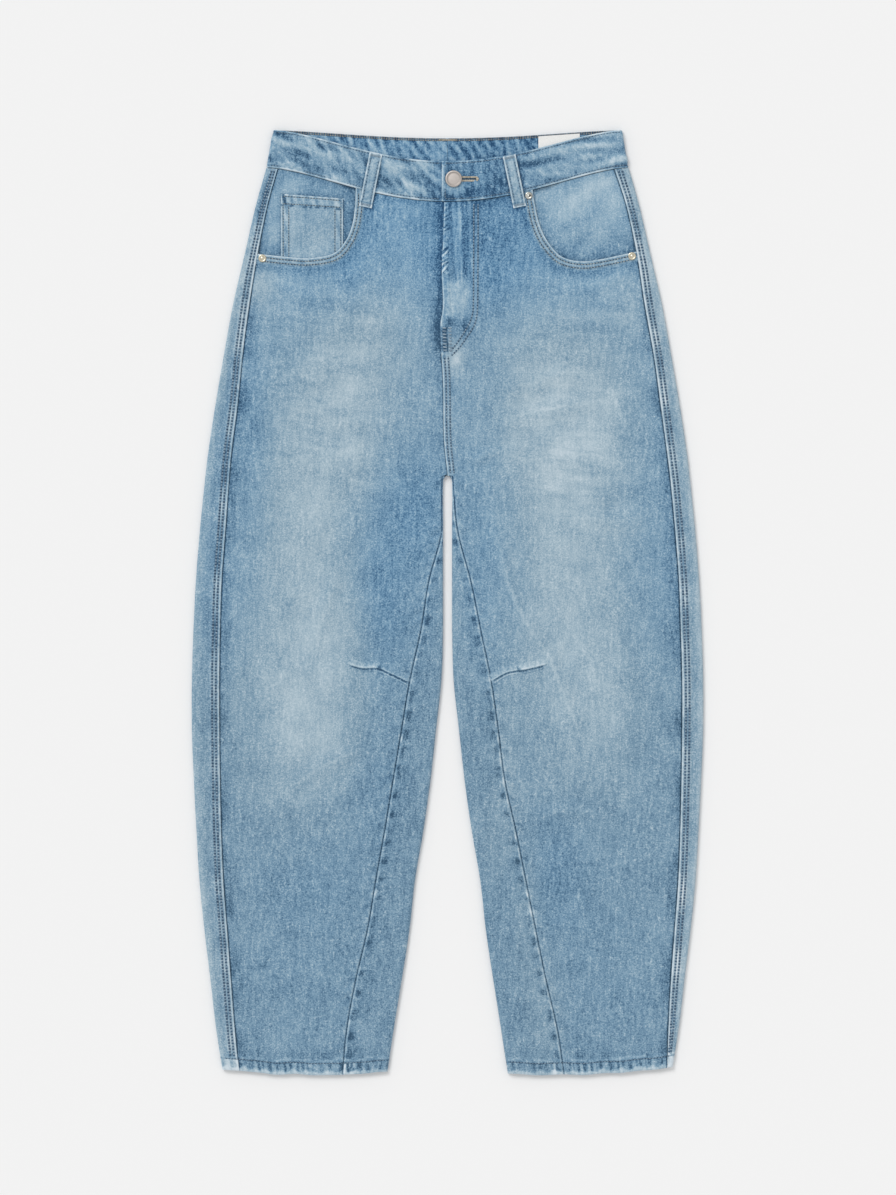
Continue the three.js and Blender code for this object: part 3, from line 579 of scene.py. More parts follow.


# The paint fields of a front: fading dye with painted shade, pale wear, dark dye with painted shade, pucker,
# fresh blue and whiskers
def frontFields(side, x, y):
    outward = outseamAt(side, y) - np.abs(x)
    inward = np.where(y > crotch["y"], np.abs(x - flyAt(y)), np.abs(x) - inseamAt(side, y))
    up = y - footAt(side, x)
    pocket, _ = distanceTo(seamLines["pocket", side], x, y)
    lower = 1 - ease(y, 120, 140)
    wear = 0.2 * near(inward - 1.5, 0.9) * lower * (0.8 + 0.4 * waver(y, 13, 45)) + markWear(x, y)
    # Painted shade: dark lines in the grooves of the side seam, inseam and fly, and a soft dark band below
    # the waistband; the dark strip beside the side seam is dye
    ink = 0.95 * near(outward, 1.0) + 0.95 * near(inward, 0.7) + 0.25 * near(beforeSeam(x, y) - 2, 5)
    ink += 0.34 * near(outward - 3, 7) * (0.75 + 0.5 * waver(y, 60, 47))
    ink += 0.3 * near(pocket - 12, 6) * (pocket > 10)
    blotch = np.clip(waver(y + 0.4 * inward, 17, 41) + 0.1, 0, None)
    ink += 0.22 * near(inward - 4, 4.5) * blotch * lower
    ink += 0.22 * near(up - 19, 5) * np.clip(0.4 + waver(x, 24, 49), 0, None)
    # Painted shadow round the front belt loops
    ink += 0.7 * loopShadowAt(x, y)
    pucker = 0.7 * near(inward, 8) + 0.5 * near(outward, 8) + 0.4 * near(up - 16, 6)
    if side == "right":
        inFly = ease(x, -8, -2) * (1 - ease(x, 25, 33))
        top, foot = 348 + 9 * waver(x, 9, 54), 305 + 4 * waver(x, 8, 56)
        patch = ease(x, -5, 2) * (1 - ease(x, 19, 27))
        patch *= ease(y, foot - 6, foot + 4) * (1 - ease(y, top - 8, top + 8))
        calm = 1 - 0.25 * patch
        streaks = waver(x + 0.05 * y, 9, 53)
        above = ease(y, 334, 350) * inFly
        wear += patch * (0.27 + 0.07 * waver(x, 6, 51) + 0.05 * waver(y, 30, 52))
        wear += 0.16 * above * np.clip(-streaks, 0, None) + 0.42 * spot(x, y, 13.4, 402, 2.4, 20)
        wear += 0.12 * near(x - 30, 2) * ease(y, 290, 310) + 0.3 * spot(x, y, 8, 257, 8, 8)
        ink += above * (0.16 + 0.4 * streaks) + 0.8 * spot(x, y, 2, 298, 7, 5)
        ink += 0.9 * spot(x, y, 19, 294, 4.5, 8) + 0.3 * spot(x, y, 8, 289, 14, 9)
        ink += 0.3 * above * (near(x - 7.5, 2.4) + near(x - 19.5, 2.6))
        ink += 0.25 * spot(x, y, 34, 422, 9, 20)
        pucker += 0.3 * inFly * ease(y, 270, 290)
    else:
        calm = 1
        beside = flyAt(y) - x
        shadow = (0.24 * near(beside, 15) + 0.7 * near(beside - 1, 5)) * ease(y, 240, 290)
        ink += shadow * (0.9 + 0.3 * waver(y, 26, 58)) + 0.5 * spot(beside, y, 3, 297, 5, 15)
        ink += 0.15 * near(beside - 3, 6) * ease(y, 130, 150)
    fade = fadeAndShadeAt(x, y)
    fresh = calm * np.clip(0.12 - 3 * fade + 0.35 * ease(y, -150, 50) + 0.5 * ease(y, 270, 390), 0, 1)
    whisker = near(np.abs(x) - 125, 80) * ease(y, 60, 130) * (1 - ease(y, 330, 360))
    values = dict(fade=fade, wear=np.clip(wear, 0, 1), ink=np.clip(ink, 0, 1.3), pucker=np.clip(pucker, 0, 1),
                  fresh=fresh, whisker=whisker)
    return {**values, **hemFields(side, x, y, values)}


# The hem: dark patches under its stitches, and a pale worn fold at the foot
def hemFields(side, x, y, values):
    up = y - footAt(side, x)
    inside = 1 - ease(up, 11.5, 13)
    patches = np.clip(0.3 + 1.2 * waver(x + 0.15 * up, 7, 55), 0, 1)
    reach = 1.2 + 1.6 * np.clip(0.5 + waver(x, 13, 61), 0, 2)
    dark = inside * ease(up, reach, reach + 3) * patches * (1.1 + 0.4 * waver(x, 60, 57))
    pale = 0.42 * (1 - ease(up, reach, reach + 3)) + 0.16 * inside * (1 - patches)
    line = 0.35 * near(up - 15.5 - 1.4 * waver(x, 50, 59), 1.0) * np.clip(0.5 + waver(x, 34, 60), 0, 1)
    ink = values["ink"] + 0.6 * dark + 0.7 * near(up - cloth["hemRow"], 0.7)
    return dict(ink=np.clip(ink, 0, 1.3), wear=np.clip(values["wear"] * (1 - dark) + pale + line, 0, 1))


# Even steps across, with short ones at both ends
def acrossSteps(width, ends, middle):
    ends = np.asarray(ends, float)[None, :] * np.minimum(1, width / 40)[:, None]
    last = ends[:, -1:]
    inner = last + (width[:, None] - 2 * last) * np.linspace(0, 1, middle + 2)[None, 1:-1]
    return np.hstack([ends, inner, width[:, None] - ends[:, ::-1]])


# The levels of a panel's rows, closer together at the waist, the crotch and the hem
def rowLevels(step=2.5):
    top, foot = band["seamY"] - cloth["waistGap"], cloth["foot"]
    levels = np.linspace(top, foot, int((top - foot) / step) + 1)
    levels = levels[levels > foot + 18.5]
    extra = [top - 0.4, top - 1, crotch["y"] - 0.6, crotch["y"] - 1.5, fly["footY"] + 1]
    hem = foot + np.array([0, 0.4, 0.9, 1.6, 2.5, 3.6, 4.8, 6, 7.2, 8.4, 9.6, 10.6, 11.4, 12, 12.6, 13.3,
                           14.2, 15.3, 16.6, 18])
    return np.sort(np.concatenate([levels, extra, hem]))[::-1]


def makeFront(side, paint):
    sign = sides[side]
    plain = rowLevels()
    outer = sign * (outseamAt(side, plain) - halfGap)
    innerY = np.where(plain > crotch["y"] + 60, rowY(side, plain, 0, band["frontSeamDip"]), plain)
    atInseam, atFly = sign * (inseamAt(side, plain) + halfGap), flyAt(innerY) + sign * halfGap
    inner = np.where(plain <= crotch["y"], atInseam, atFly)
    if side == "left":
        inner = np.where(innerY > fly["footY"], fly["underX"], inner)
    steps = acrossSteps(np.abs(outer - inner), [0, 0.4, 0.9, 1.6, 2.5, 3.6, 5, 7, 9.5], 80)
    x = outer[:, None] + np.sign(inner - outer)[:, None] * steps
    y = rowY(side, plain[:, None], x, band["frontSeamDip"])
    openLeg = (plain < crotch["y"])[:, None]
    r = cloth["lay"] / 2
    d = np.abs(x) - gapAt(plain)[:, None]
    fall = r - np.sqrt(np.clip(r * r - np.clip(r - d, 0, None) ** 2, 0, None))
    z = frontTop(side, x, y) - np.where(openLeg & (d < r), fall, 0)
    piece = gridPiece("front_" + side, stacked(x, y, z), frontFields(side, x, y), cloth["thick"], (100, 30))
    cutOutline(piece, pocketOpening(side))
    layCloth(piece, "front_panel_" + side, cloth["cutFront"], paint)


def pocketOpening(side):
    points = [tuple(p) for p in seamLines["pocket", side]["p"][::2]]
    away, above = sides[side] * 240, 500  # both beyond the panel
    return [(points[0][0], above)] + points + [(away, points[-1][1]), (away, above)]


# The stitched allowance beside the side seam: distance from the seam and height
allowance = np.array([
    (0, -0.2), (0.4, 0.5), (1.0, 0.85), (1.8, 0.8), (2.6, 0.6), (4.0, 0.3), (5.2, 0.62), (6.4, 0.6),
    (7.8, 0.26), (8.8, 0.5), (9.8, 0.4), (10.8, 0.08), (12, 0),
])
sideRows = (4.0, 7.8)


# Beside a narrow strip of cloth the allowance is narrower
def squeezeIn(flat):
    return np.minimum(1, 0.9 * flat / allowance[-1, 0])


# A back panel is one strip of cloth round the leg. Each column of it runs down the leg, put by its place,
# the way that it faces, how much it dips at the waist and how far it stands out
def makeBack(side, paint):
    sign = sides[side]
    plain = rowLevels()
    hem = hemRise(side, sign * 160, plain + footAt(side, sign * 160) - cloth["foot"])
    height = cloth["lay"] + cloth["hemExtra"] * hem
    r = height / 2
    outline, gap = outlineAt(plain), gapAt(plain)
    seam = outseamAt(side, plain) + halfGap
    flat = outline - r - seam
    inseam = inseamAt(side, plain) - halfGap
    columns = []

    def put(x, z, nx, nz, dip, rise):
        columns.append((sign * (x + nx * rise), rowY(side, plain, x, dip), z + nz * rise))

    # From the side seam over the front edge of the leg
    squeeze = squeezeIn(flat)
    ridgeNoise = 1 + 0.28 * waver(plain, 9, 61 + sign) + 0.15 * waver(plain, 4.6, 63)
    for d in [0, 0.3, 0.7, 1.2, 1.8, 2.4, 3.1, 4.0, 4.7, 5.5, 6.3, 7.1, 7.8, 8.5, 9.2, 10, 11, 12]:
        rise = np.interp(d, allowance[:, 0], allowance[:, 1]) * ridgeNoise
        rise += 0.16 * near(d - 6, 3.5) * waver(plain + 0.7 * d, 8, 65) + 0.25 * waver(plain, 52, 64)
        put(seam + d * squeeze, height, 0, 1, band["frontSeamDip"], rise * (1 - hem))
    allowed = allowance[-1, 0] * squeeze
    for t in (0.35, 0.7, 1.0):
        x = seam + allowed + (flat - allowed) * t
        put(x, height, 0, 1, 0, 0.15 * waver(plain, 60, 67))
    # Round the outer fold, and under the leg, lifted so that the back pockets stand proud of the panel
    for turn in range(18, 181, 18):
        a = math.radians(turn)
        put(outline - r + r * math.sin(a), r + r * math.cos(a), math.sin(a), math.cos(a), 0, 0)
    openLeg = plain < crotch["y"]
    centreStrip = 1.8  # takes the columns of the inner fold where the leg isn't open
    start = np.where(openLeg, gap + r, halfGap + centreStrip)
    for t in np.linspace(0, 1, 31)[1:]:
        lift = 0.3 * min(1, 10 * t, 10 * (1 - t))
        put(outline - r + (start - outline + r) * t, lift + 0 * plain, 0, -1, band["backSeamDip"], 0)
    # Round the inner fold up to the inseam; above the crotch these columns stay flat beside the centre
    reach = inseam - gap
    arc = math.pi * r
    lateral = np.clip((r - reach) / r, -1, 1)
    wrap = np.where(reach >= r, arc + reach - r, r * (math.pi - np.arcsin(lateral)))
    tailScale = np.minimum(1, wrap / 26)
    lengths = [wrap * 0 + (wrap - 14 * tailScale) * t for t in np.linspace(0, 1, 17)[1:-1]]
    lengths += [wrap - d * tailScale for d in (14, 11, 8.5, 6.5, 5, 3.7, 2.6, 1.7, 1, 0.5, 0)]
    for w in lengths:
        a = np.clip(w / r, 0, math.pi)
        onArc = w < arc
        x = gap + r - r * np.sin(a) + np.clip(w - arc, 0, None)
        z = np.where(onArc, r - r * np.cos(a), height)
        nx = np.where(onArc, -np.sin(a), 0)
        nz = np.where(onArc, -np.cos(a), 1)
        d = wrap - w
        rise = -0.6 * near(d, 0.8) + 0.3 * near(d - 2.2, 1.3)
        rise += 0.42 * near(d - 6, 5) * waver(plain + 0.5 * d, 15, 71 + sign)
        rise *= ease(a, 1.6, 2.6)
        put(np.where(openLeg, x, start - centreStrip * w / wrap), np.where(openLeg, z, 0),
            np.where(openLeg, nx, 0), np.where(openLeg, nz, -1), band["backSeamDip"],
            np.where(openLeg, rise, 0))
    x, y, z = np.array(columns).transpose(1, 2, 0)
    up = y - footAt(side, x)
    inHem = (z > 3) * (1 - ease(up, 11, 14))
    z += inHem * 0.3 * waver(x + 0.8 * up, 11, 31)
    z = z - (z > 4) * (0.4 * near(up - 12, 0.8) + 0.5 * near(up, 0.8))
    piece = gridPiece("back_" + side, stacked(x, y, z), backFields(side, x, y, z), cloth["thick"], (100, 3))
    layCloth(piece, "back_panel_" + side, cloth["cutBack"], paint)


# The paint fields of a back: seams and hem on its upper face, and the hem alone on its underside
def backFields(side, x, y, z):
    above = ease(z, 2.5, 4)
    outward = np.abs(x) - outseamAt(side, y)
    inward = inseamAt(side, y) - np.abs(x)
    up = y - footAt(side, x)
    outer = (np.abs(x) > 120) & (outward > -0.5)
    inner = (~outer) & (y < crotch["y"])
    rope = 1.3 * waver(y, 64, 81 + sides[side])
    allowed = near(outward - 6, 4)
    wear = outer * (0.46 * near(outward - 1.3, 0.65) + allowed * np.clip(0.04 + 0.3 * rope, 0, 0.4))
    wear += inner * 0.62 * near(inward - 1.6, 0.9) * (0.8 + 0.4 * waver(y, 13, 46))
    # Painted shade: a dark line in the groove of the side seam; the broad dark band further off is dye
    seamInkAndShade = 1.1 * near(outward, 0.4) + 0.18 * near(outward - 14, 4)
    ink = outer * (seamInkAndShade + 0.5 * allowed * np.clip(0.2 - 0.6 * rope, 0, 1))
    ink += outer * 0.34 * (near(outward - sideRows[0], 1.0) + near(outward - sideRows[1], 1.0))
    blotch = np.clip(waver(y, 16, 43) + 0.15, 0, None)
    # Painted shade: a dark line in the inseam groove, with dark dye blotches beside it
    ink += inner * (0.95 * near(inward, 0.7) + 0.75 * near(inward - 5, 3.6) * blotch + 0.1)
    hem = 1 - ease(up, 11, 13)
    wear += inner * hem * 0.5 * ease(inward, 1, 2) * (1 - ease(inward, 11, 12))
    ink += inner * hem * 1.1 * near(inward - 13, 0.8)
    pucker = outer * 0.6 * (1 - ease(outward, 9, 13)) + inner * 0.6 * near(inward, 9)
    foot = hemFields(side, x, y, {"ink": ink, "wear": wear})
    under = hemFields(side, x, y, {"ink": 0 * x, "wear": 0 * x})
    corner = outer * (1 - ease(up, 11, 14)) * (1 - ease(outward, 12, 18))
    wear = above * (foot["wear"] * (1 - 0.4 * corner) + 0.3 * corner) + (1 - above) * under["wear"]
    ink = above * (foot["ink"] * (1 - 0.8 * corner)) + (1 - above) * under["ink"]
    # Painted light: the outer strip of the back is painted lighter, most on the right and along the rounded
    # outer fold, to offset the shade that falls there; lower down the leg it is lighter too
    lift = 0.12 if side == "right" else 0.03 + 0.08 * near(y - 268, 60)
    lift += 0.08 * ease(-y, 200, 350) + 0.08 * near(outlineAt(y) - np.abs(x), 6)
    fade = fadeAndShadeAt(x, y) + outer * lift
    fresh = np.clip(0.1 - 3 * fade + 0.4 * ease(y, -150, 50), 0, 1)
    fields = dict(fade=fade, wear=wear, ink=ink, pucker=above * pucker, fresh=fresh)
    return {key: np.clip(value, -1, 1.3) for key, value in fields.items()}


# Places round a flattened tube: v runs over the face and back, with rounded edges
def roundedLoop(width, half, edge=1.2):
    close = np.array([0, 0.12, 0.35, 0.7, 1.15, 1.7, 2.3, 3.0, 4.0]) * min(1, width / 18)
    middle = np.linspace(close[-1], width - close[-1], max(3, int(width / 2)))[1:-1]
    v = np.concatenate([close, middle, width - close[::-1]])
    closeness = np.minimum(v, width - v) / min(edge, width / 4)
    h = half * np.sqrt(1 - (1 - np.clip(closeness, 0, 1)) ** 2)
    return np.concatenate([v, v[::-1][1:]]), np.concatenate([h, -h[::-1][1:]])


# The waistband's wrinkles: which way they lean changes along it
def bandWaves(side, x, y, turn, outside):
    inside = 0.95 * ripples(x, y, 9, 96, 0.6, 0.8) + 0.3 * ripples(x, y, 30, 97, 0.4, 2)
    if side == "left":
        front = 0.85 * ripples(x, y, 24, 91, 1.15, 1.3) + 0.5 * ripples(x, y, 9, 95, 0.9, 1.5)
    else:
        beyond = ease(x, 55, 95)
        middle = 0.75 * ripples(x, y, 24, 94, 0.9, 2.4) + 0.45 * ripples(x, y, 11, 98, 0.9, 2.4)
        front = middle * (1 - beyond) + ripples(x, y, 15, 92, 1.72, 0.6) * beyond * 0.7
    return np.where(outside, front if turn < 90 else 0.5 * inside, inside * (turn > 60))


# One half of the band: a flattened tube, from its front end round the fold to the centre back
def makeBand(side, paint):
    sign = sides[side]
    r, half = band["height"] / 2, band["thick"] / 2
    v, h = roundedLoop(bandWidth, half)
    share, outside = v / bandWidth, h >= 0
    foldAt = 1 - r / band["topHalf"]
    endX = lap["underEndX"] if side == "left" else lap["bandEndX"]
    frontEnd = endX / band["seamHalf"]
    frontLength = abs(endX - sign * band["foldX"])
    clustered = np.concatenate([[0, 0.15, 0.4, 0.8, 1.3, 2], np.linspace(3, 0.5 + frontLength, 130)])
    # Stations: a place as a share of the half width, the turn round the fold in degrees, and front or back
    stations = [(f, 0.0, True) for f in frontEnd + (sign * foldAt - frontEnd) * clustered / clustered[-1]]
    stations += [(sign * foldAt, a, a < 90) for a in np.linspace(0, 180, 15)[1:-1]]
    backEnd = halfGap / band["topHalf"]
    stations += [(sign * f, 180.0, False) for f in np.linspace(foldAt, backEnd, 110)]
    places, rows = [], []
    run = 0.0
    for index, (along, turn, isFront) in enumerate(stations):
        turning, inFront = 0 < turn < 180, turn == 0
        x, y = bandEdge(along, share, isFront)
        if turning:
            mix = ease(turn, 0, 180)
            x, yFront = bandEdge(along, share, True)
            y = yFront * (1 - mix) + bandEdge(along, share, False)[1] * mix
        step = 2.2
        if index:
            step = abs(along - stations[index - 1][0]) * band["seamHalf"] + (0.9 if turning else 0)
        run += step
        endRound = math.sqrt(1 - (1 - min(1, clustered[index] / 1.3)) ** 2) if index < 6 else 1
        wave = bandWaves(side, x, y, turn, outside)
        notch = waver(run + 0.4 * v, 7, 91 + sign) * near(v - 5, 3)
        low, high = near(v - band["lowRow"], 0.7), near(v - bandWidth + band["highRow"], 0.7)
        channels = -0.34 * (low + high) + 0.12 * (near(v - 1.1, 0.7))
        relief = np.where(outside, 0.5 * wave + 0.2 * notch + channels, -0.25 * wave - channels * 0.6)
        inset = np.clip(half - np.abs(h), 0, None) / half
        thick = h * endRound + relief * (1 - inset) * min(1, clustered[min(index, len(clustered) - 1)])
        if turn == 180:
            thick = np.where(outside, h, thick)
        a = math.radians(turn)
        outFrom = r - half + thick
        px = x + sign * outFrom * math.sin(a)
        places.append(stacked(px, y, r + outFrom * math.cos(a) + (bandLift(side, x) if inFront else 0)))
        insideFace = (~outside) * ease(turn, 60, 120)
        end = near(clustered[index] - 1.2 if index < len(clustered) and side == "right" else 50, 1.4)
        # Darker round the middle of the front band: dark dye, and on the right also painted shadow of the
        # front loop
        centre = near(px - 30, 50) * inFront if side == "right" else near(px + 2, 20) * inFront
        fade = 0.07 * ease(sign * px, 80, 130) * inFront
        fade += 0.24 * np.clip(wave, -1.5, 1) - 0.08 * np.clip(-wave - 0.5, 0, None)
        uneven = 0.08 * near(px + 38, 20) - 0.1 * near(px + 158, 24) - 0.16 * near(px - 68, 22)
        fade += uneven * inFront
        fade = fade - 0.17 * centre - (0.06 if side == "left" else 0.16) * insideFace
        wear = 0.42 * near(v - bandWidth + 0.6, 0.75) * (1 - insideFace)
        wear += 0.5 * near(v - 0.8, 0.8) + 0.5 * end
        ink = 0.22 * low + 0.12 * near(v - bandWidth + band["highRow"], 0.6)
        ink += 0.6 * near(v - 5.5, 2.2) * np.clip(-notch, 0, 1)
        ink += 0.4 * insideFace * near(v - bandWidth + 0.3, 1.2)
        # Painted shadow round the front belt loops, on the band
        ink += 0.65 * loopShadowAt(px, y) * inFront * outside
        rows.append((fade, wear, ink, 0.85 + 0 * v, 0.4 + 0.5 * insideFace + 0.4 * centre))
    values = np.clip(np.array(rows), -1, 1.2).transpose(1, 0, 2)
    fields = dict(zip(("fade", "wear", "ink", "pucker", "fresh"), values))
    piece = gridPiece("waistband_" + side + "_cloth", np.array(places), fields, closed=True)
    if side == "right":
        cutOutline(piece, buttonholeOutline())
    cut = (frontLength + band["backLength"] + band["turnings"], band["cutDepth"])
    layCloth(piece, "waistband_" + side, cut, paint)


button = {"x": 6.5, "y": 449.7, "radius": 8.95, "capThick": 3.4, "neck": 2.2}
buttonhole = {"eyelet": 2.7, "slot": 2.6, "endX": 31}


def buttonholeOutline():
    half = buttonhole["slot"] / 2
    start = math.asin(half / buttonhole["eyelet"])
    x, y, r = button["x"], button["y"], buttonhole["eyelet"]
    points = [(x + r * math.cos(a), y + r * math.sin(a)) for a in np.linspace(start, 2 * math.pi - start, 21)]
    return points + [(buttonhole["endX"], y - half), (buttonhole["endX"], y + half)]


# The denim that shows inside a front pocket
def makeFacing(side, paint):
    sign = sides[side]
    level = np.linspace(band["seamY"] - cloth["waistGap"], facing["bottomY"], 48)[:, None]
    t = np.linspace(0, 1, 52)[None, :]
    outer = sign * (outseamAt(side, level) - cloth["seamGap"] * 1.5)
    x = outer + (sign * facing["innerX"] - outer) * t
    sunk = 1 - ease(band["seamY"] - level, 0, band["seamY"] - facing["bottomY"])
    y = level - dipAt(x, band["seamHalf"], band["frontSeamDip"]) * sunk
    z = facingTop(side, x, y) + 0.12 * ripples(x, y, 28, 101 + sign) * ease(level, 360, 372)
    pocket, _ = distanceTo(seamLines["pocket", side], x, y)
    outward = outseamAt(side, y) - np.abs(x)
    # Painted shade below the band and along the pocket edge of the front, which stands above the facing, over
    # a dark line at the side seam
    ink = 0.6 * near(outward, 1.2) + 0.2 * near(outward - 4, 5) + 0.3 * near(beforeSeam(x, y), 6)
    ink += 0.34 * near(pocket, 10)
    if side == "left":
        # Painted shadow round the raised edges of the coin pocket
        besideCoin = np.abs(x - (coin["leftX"] + coin["rightX"]) / 2) - coin["width"] / 2
        aboveCoin = y - (coin["topLeftY"] + coin["topRightY"]) / 2
        ink += 0.4 * near(np.maximum(besideCoin, aboveCoin), 3)
        pale = 0.06 + 0.08 * near(x + 184, 20) - 0.1 * near(x + 100, 14)
    else:
        pale = 0.2 - 0.15 * (1 - ease(y, 385, 430))
    fields = dict(fade=pale + 0.045 * ripples(x, y, 26, 103, 2.3, 0.7), wear=0 * x, ink=np.clip(ink, 0, 1.2),
                  pucker=0.3 * near(outward, 8), fresh=0.5 + 0 * x)
    piece = gridPiece("facing_" + side, stacked(x, y, z), fields, cloth["thick"], (10, 20))
    layCloth(piece, "pocket_facing_" + side, facing["cut"], paint)


coin = {
    "leftX": -177, "rightX": -111, "topLeftY": 434, "topRightY": 429, "bottomY": 360, "hem": 11,
    "width": 66, "tall": 74,
}


# The coin pocket's face: share across and down, with its raised hem and edges
def coinPlace(across, down):
    x = coin["leftX"] + coin["width"] * across
    top = coin["topLeftY"] + (coin["topRightY"] - coin["topLeftY"]) * across
    y = top + (coin["bottomY"] - top) * down
    return x, y, facingTop("left", x, y) + 0.5 + cloth["thick"]


def makeCoinPocket(paint):
    width, tall = coin["width"], coin["tall"]
    edges = np.array([0, 0.15, 0.4, 0.8, 1.3, 2, 3, 4.5])
    a = np.concatenate([edges, np.linspace(6.5, width - 6.5, 22), width - edges[::-1]]) / width
    b = np.concatenate([edges, np.linspace(6, tall, 34)]) / tall
    across, down = np.meshgrid(a, b)
    x, y, z = coinPlace(across, down)
    fromLeft, fromRight, fromTop = across * width, (1 - across) * width, down * tall
    edge = np.minimum(np.minimum(fromLeft, fromRight), fromTop)
    hem = 1 - ease(fromTop, coin["hem"], coin["hem"] + 1.5)
    z = z - 0.5 * (1 - np.sqrt(1 - (1 - np.clip(edge / 0.9, 0, 1)) ** 2)) + 0.35 * hem
    rowsAt = ((fromTop, 2.2), (fromTop, coin["hem"] - 0.8), (fromLeft, 2.2), (fromLeft, 8.4),
              (fromRight, 2.0), (fromRight, 8.6))
    rows = np.clip(sum(near(distance - row, 0.6) for distance, row in rowsAt), 0, 1)
    z = z - 0.25 * rows + 0.1 * ripples(x, y, 20, 111)
    blotch = np.clip(0.2 + waver(x + 0.3 * y, 11, 113), 0, 1)
    bands = near(fromLeft - 5, 2.6) + near(fromRight - 5, 2.6)
    wear = 0.34 * near(edge - 0.6, 0.8) + 0.16 * (bands + hem) * (1 - blotch)
    # Painted shadow: a dark line below the raised hem of the coin pocket, uneven along it
    ink = 1.15 * near(fromTop - coin["hem"] - 1.2, 1.1) * np.clip(0.4 + waver(x, 9, 115), 0, 1.2)
    ink += 0.6 * bands * blotch + 0.85 * hem * blotch + 0.16 * rows
    pucker = 0.4 * np.clip(near(fromLeft - 4, 5) + near(fromRight - 4, 5) + hem, 0, 1)
    fields = dict(fade=0.13 + 0.03 * waver(x, 20, 5), wear=wear, ink=ink, pucker=pucker, fresh=0.3 + 0 * x)
    piece = gridPiece("coin_pocket_cloth", stacked(x, y, z), fields, cloth["thick"], (10, 20))
    layCloth(piece, "coin_pocket", (width, tall), paint)


# A stitched or folded strip along a line, fitted over the cloth that carries it: its profile goes across
def makeStrip(name, line, toward, surface, profile, shape, folded, paint):
    d, h = np.array(profile, float).T
    fine = np.linspace(d[0], d[-1], 34)[None, :]
    beside = np.clip(fine, 0, None) if folded else fine
    p, n = line["p"], line["n"] * toward
    x, y = p[:, 0:1] + n[:, 0:1] * beside, p[:, 1:2] + n[:, 1:2] * beside
    run, fine = line["s"][:, None] + 0 * x, fine + 0 * x
    lift, values = shape(run, fine, x, y)
    z = surface(x, y) + np.interp(fine, d, h) + lift
    enter(gridPiece(name, stacked(x, y, z), values, 0.5, (5, 15)), paint)


pocketProfile = [(-0.8, -1.1), (-0.4, -0.9), (-0.05, -0.35), (0.15, 0.15), (0.6, 0.42), (1.3, 0.5),
                 (2.4, 0.42), (3.4, 0.12), (4.4, 0.42), (6.2, 0.42), (7.4, 0.12), (8.4, 0.34), (9.8, 0.0),
                 (11, -0.3)]
pocketRows = (3.4, 7.4)


def pocketShape(run, d, x, y):
    rope = waver(run + 0.6 * d, 11, 131)
    lift = 0.14 * waver(run + 0.7 * d, 8, 121) * near(d - 5, 4)
    rows = near(d - pocketRows[0], 0.8) + near(d - pocketRows[1], 0.8)
    ink = 0.22 * np.clip(rope, 0, 1) * near(d - 5, 4) + 0.2 * rows + 0.25 * near(d - 10.5, 1.5)
    wear = 0.5 * near(d - 0.6, 0.9) + 0.1 * near(d - 5.4, 1.4)
    return lift, dict(fade=fadeAndShadeAt(x, y) + 0.07 * near(d - 4, 5), wear=wear, ink=ink,
                      pucker=0.3 * (1 - ease(d, 8, 11)), fresh=0.3 + 0 * d)


def makePocketEdges(paint):
    for side in sides:
        makeStrip("pocket_edge_" + side, seamLines["pocket", side], towardPanel(side), frontSurface(side),
                  pocketProfile, pocketShape, True, paint)


flyProfile = [(-0.6, -1.1), (-0.3, -0.8), (0, -0.25), (0.2, 0.15), (0.7, 0.4), (1.5, 0.45), (2.6, 0.25),
              (5, 0.3), (7.5, 0.12), (9.5, -0.35)]


# The folded edge of the fly, twisted where it is worn, over the same paint as the front beside it
def flyShape(run, d, x, y):
    zone = ease(y, 347, 351) * (1 - ease(y, 374, 380)) * 1.25
    zone += 0.6 * ease(y, 384, 390) * (1 - ease(y, 420, 424))
    zone *= np.clip(0.75 + 0.5 * waver(y, 8, 165), 0.1, 1.3)
    twist = np.sin(2 * math.pi * (y - 0.75 * d) / 5.4 + 1.4 * waver(y, 14, 161)) * zone * near(d - 3, 4)
    lower = 1 - ease(y, 262, 272)
    rope = waver(y, 10, 163)
    lift = 0.5 * twist + 0.1 * rope * near(d - 4, 4)
    wear = 0.46 * near(d - 0.8, 0.9) + 0.75 * np.clip(twist, 0, 1) + 0.14 * lower * near(d - 5, 1.2)
    ink = 1.9 * np.clip(-twist, 0, 1) + 0.25 * lower * near(d - 3.4, 1.1)
    ink += 0.16 * np.clip(rope, 0, 1) * near(d - 4, 3)
    tack = ease(y, 264, 268) * (1 - ease(y, 290, 295)) * (1 - ease(d, 8, 9.5))
    base = frontFields("right", x, y)
    same = ease(d, 2.5, 7)
    values = dict(fade=base["fade"], wear=wear + base["wear"] * same, ink=ink + base["ink"] * same + tack,
                  pucker=0.4 * (1 - ease(d, 7, 9.5)), fresh=base["fresh"], whisker=base["whisker"] * same)
    return lift, {key: np.clip(value, -1, 1.5) for key, value in values.items()}


dartProfile = [(-5, -0.5), (-3.2, 0.1), (-1.4, 0.3), (-0.4, 0.12), (0, -0.12), (0.4, 0.3), (1.2, 0.62),
               (2.2, 0.55), (4, 0.42), (6.5, 0.25), (8, 0.05), (9.5, -0.5)]
dartKnots = {"left": 37, "right": 33}


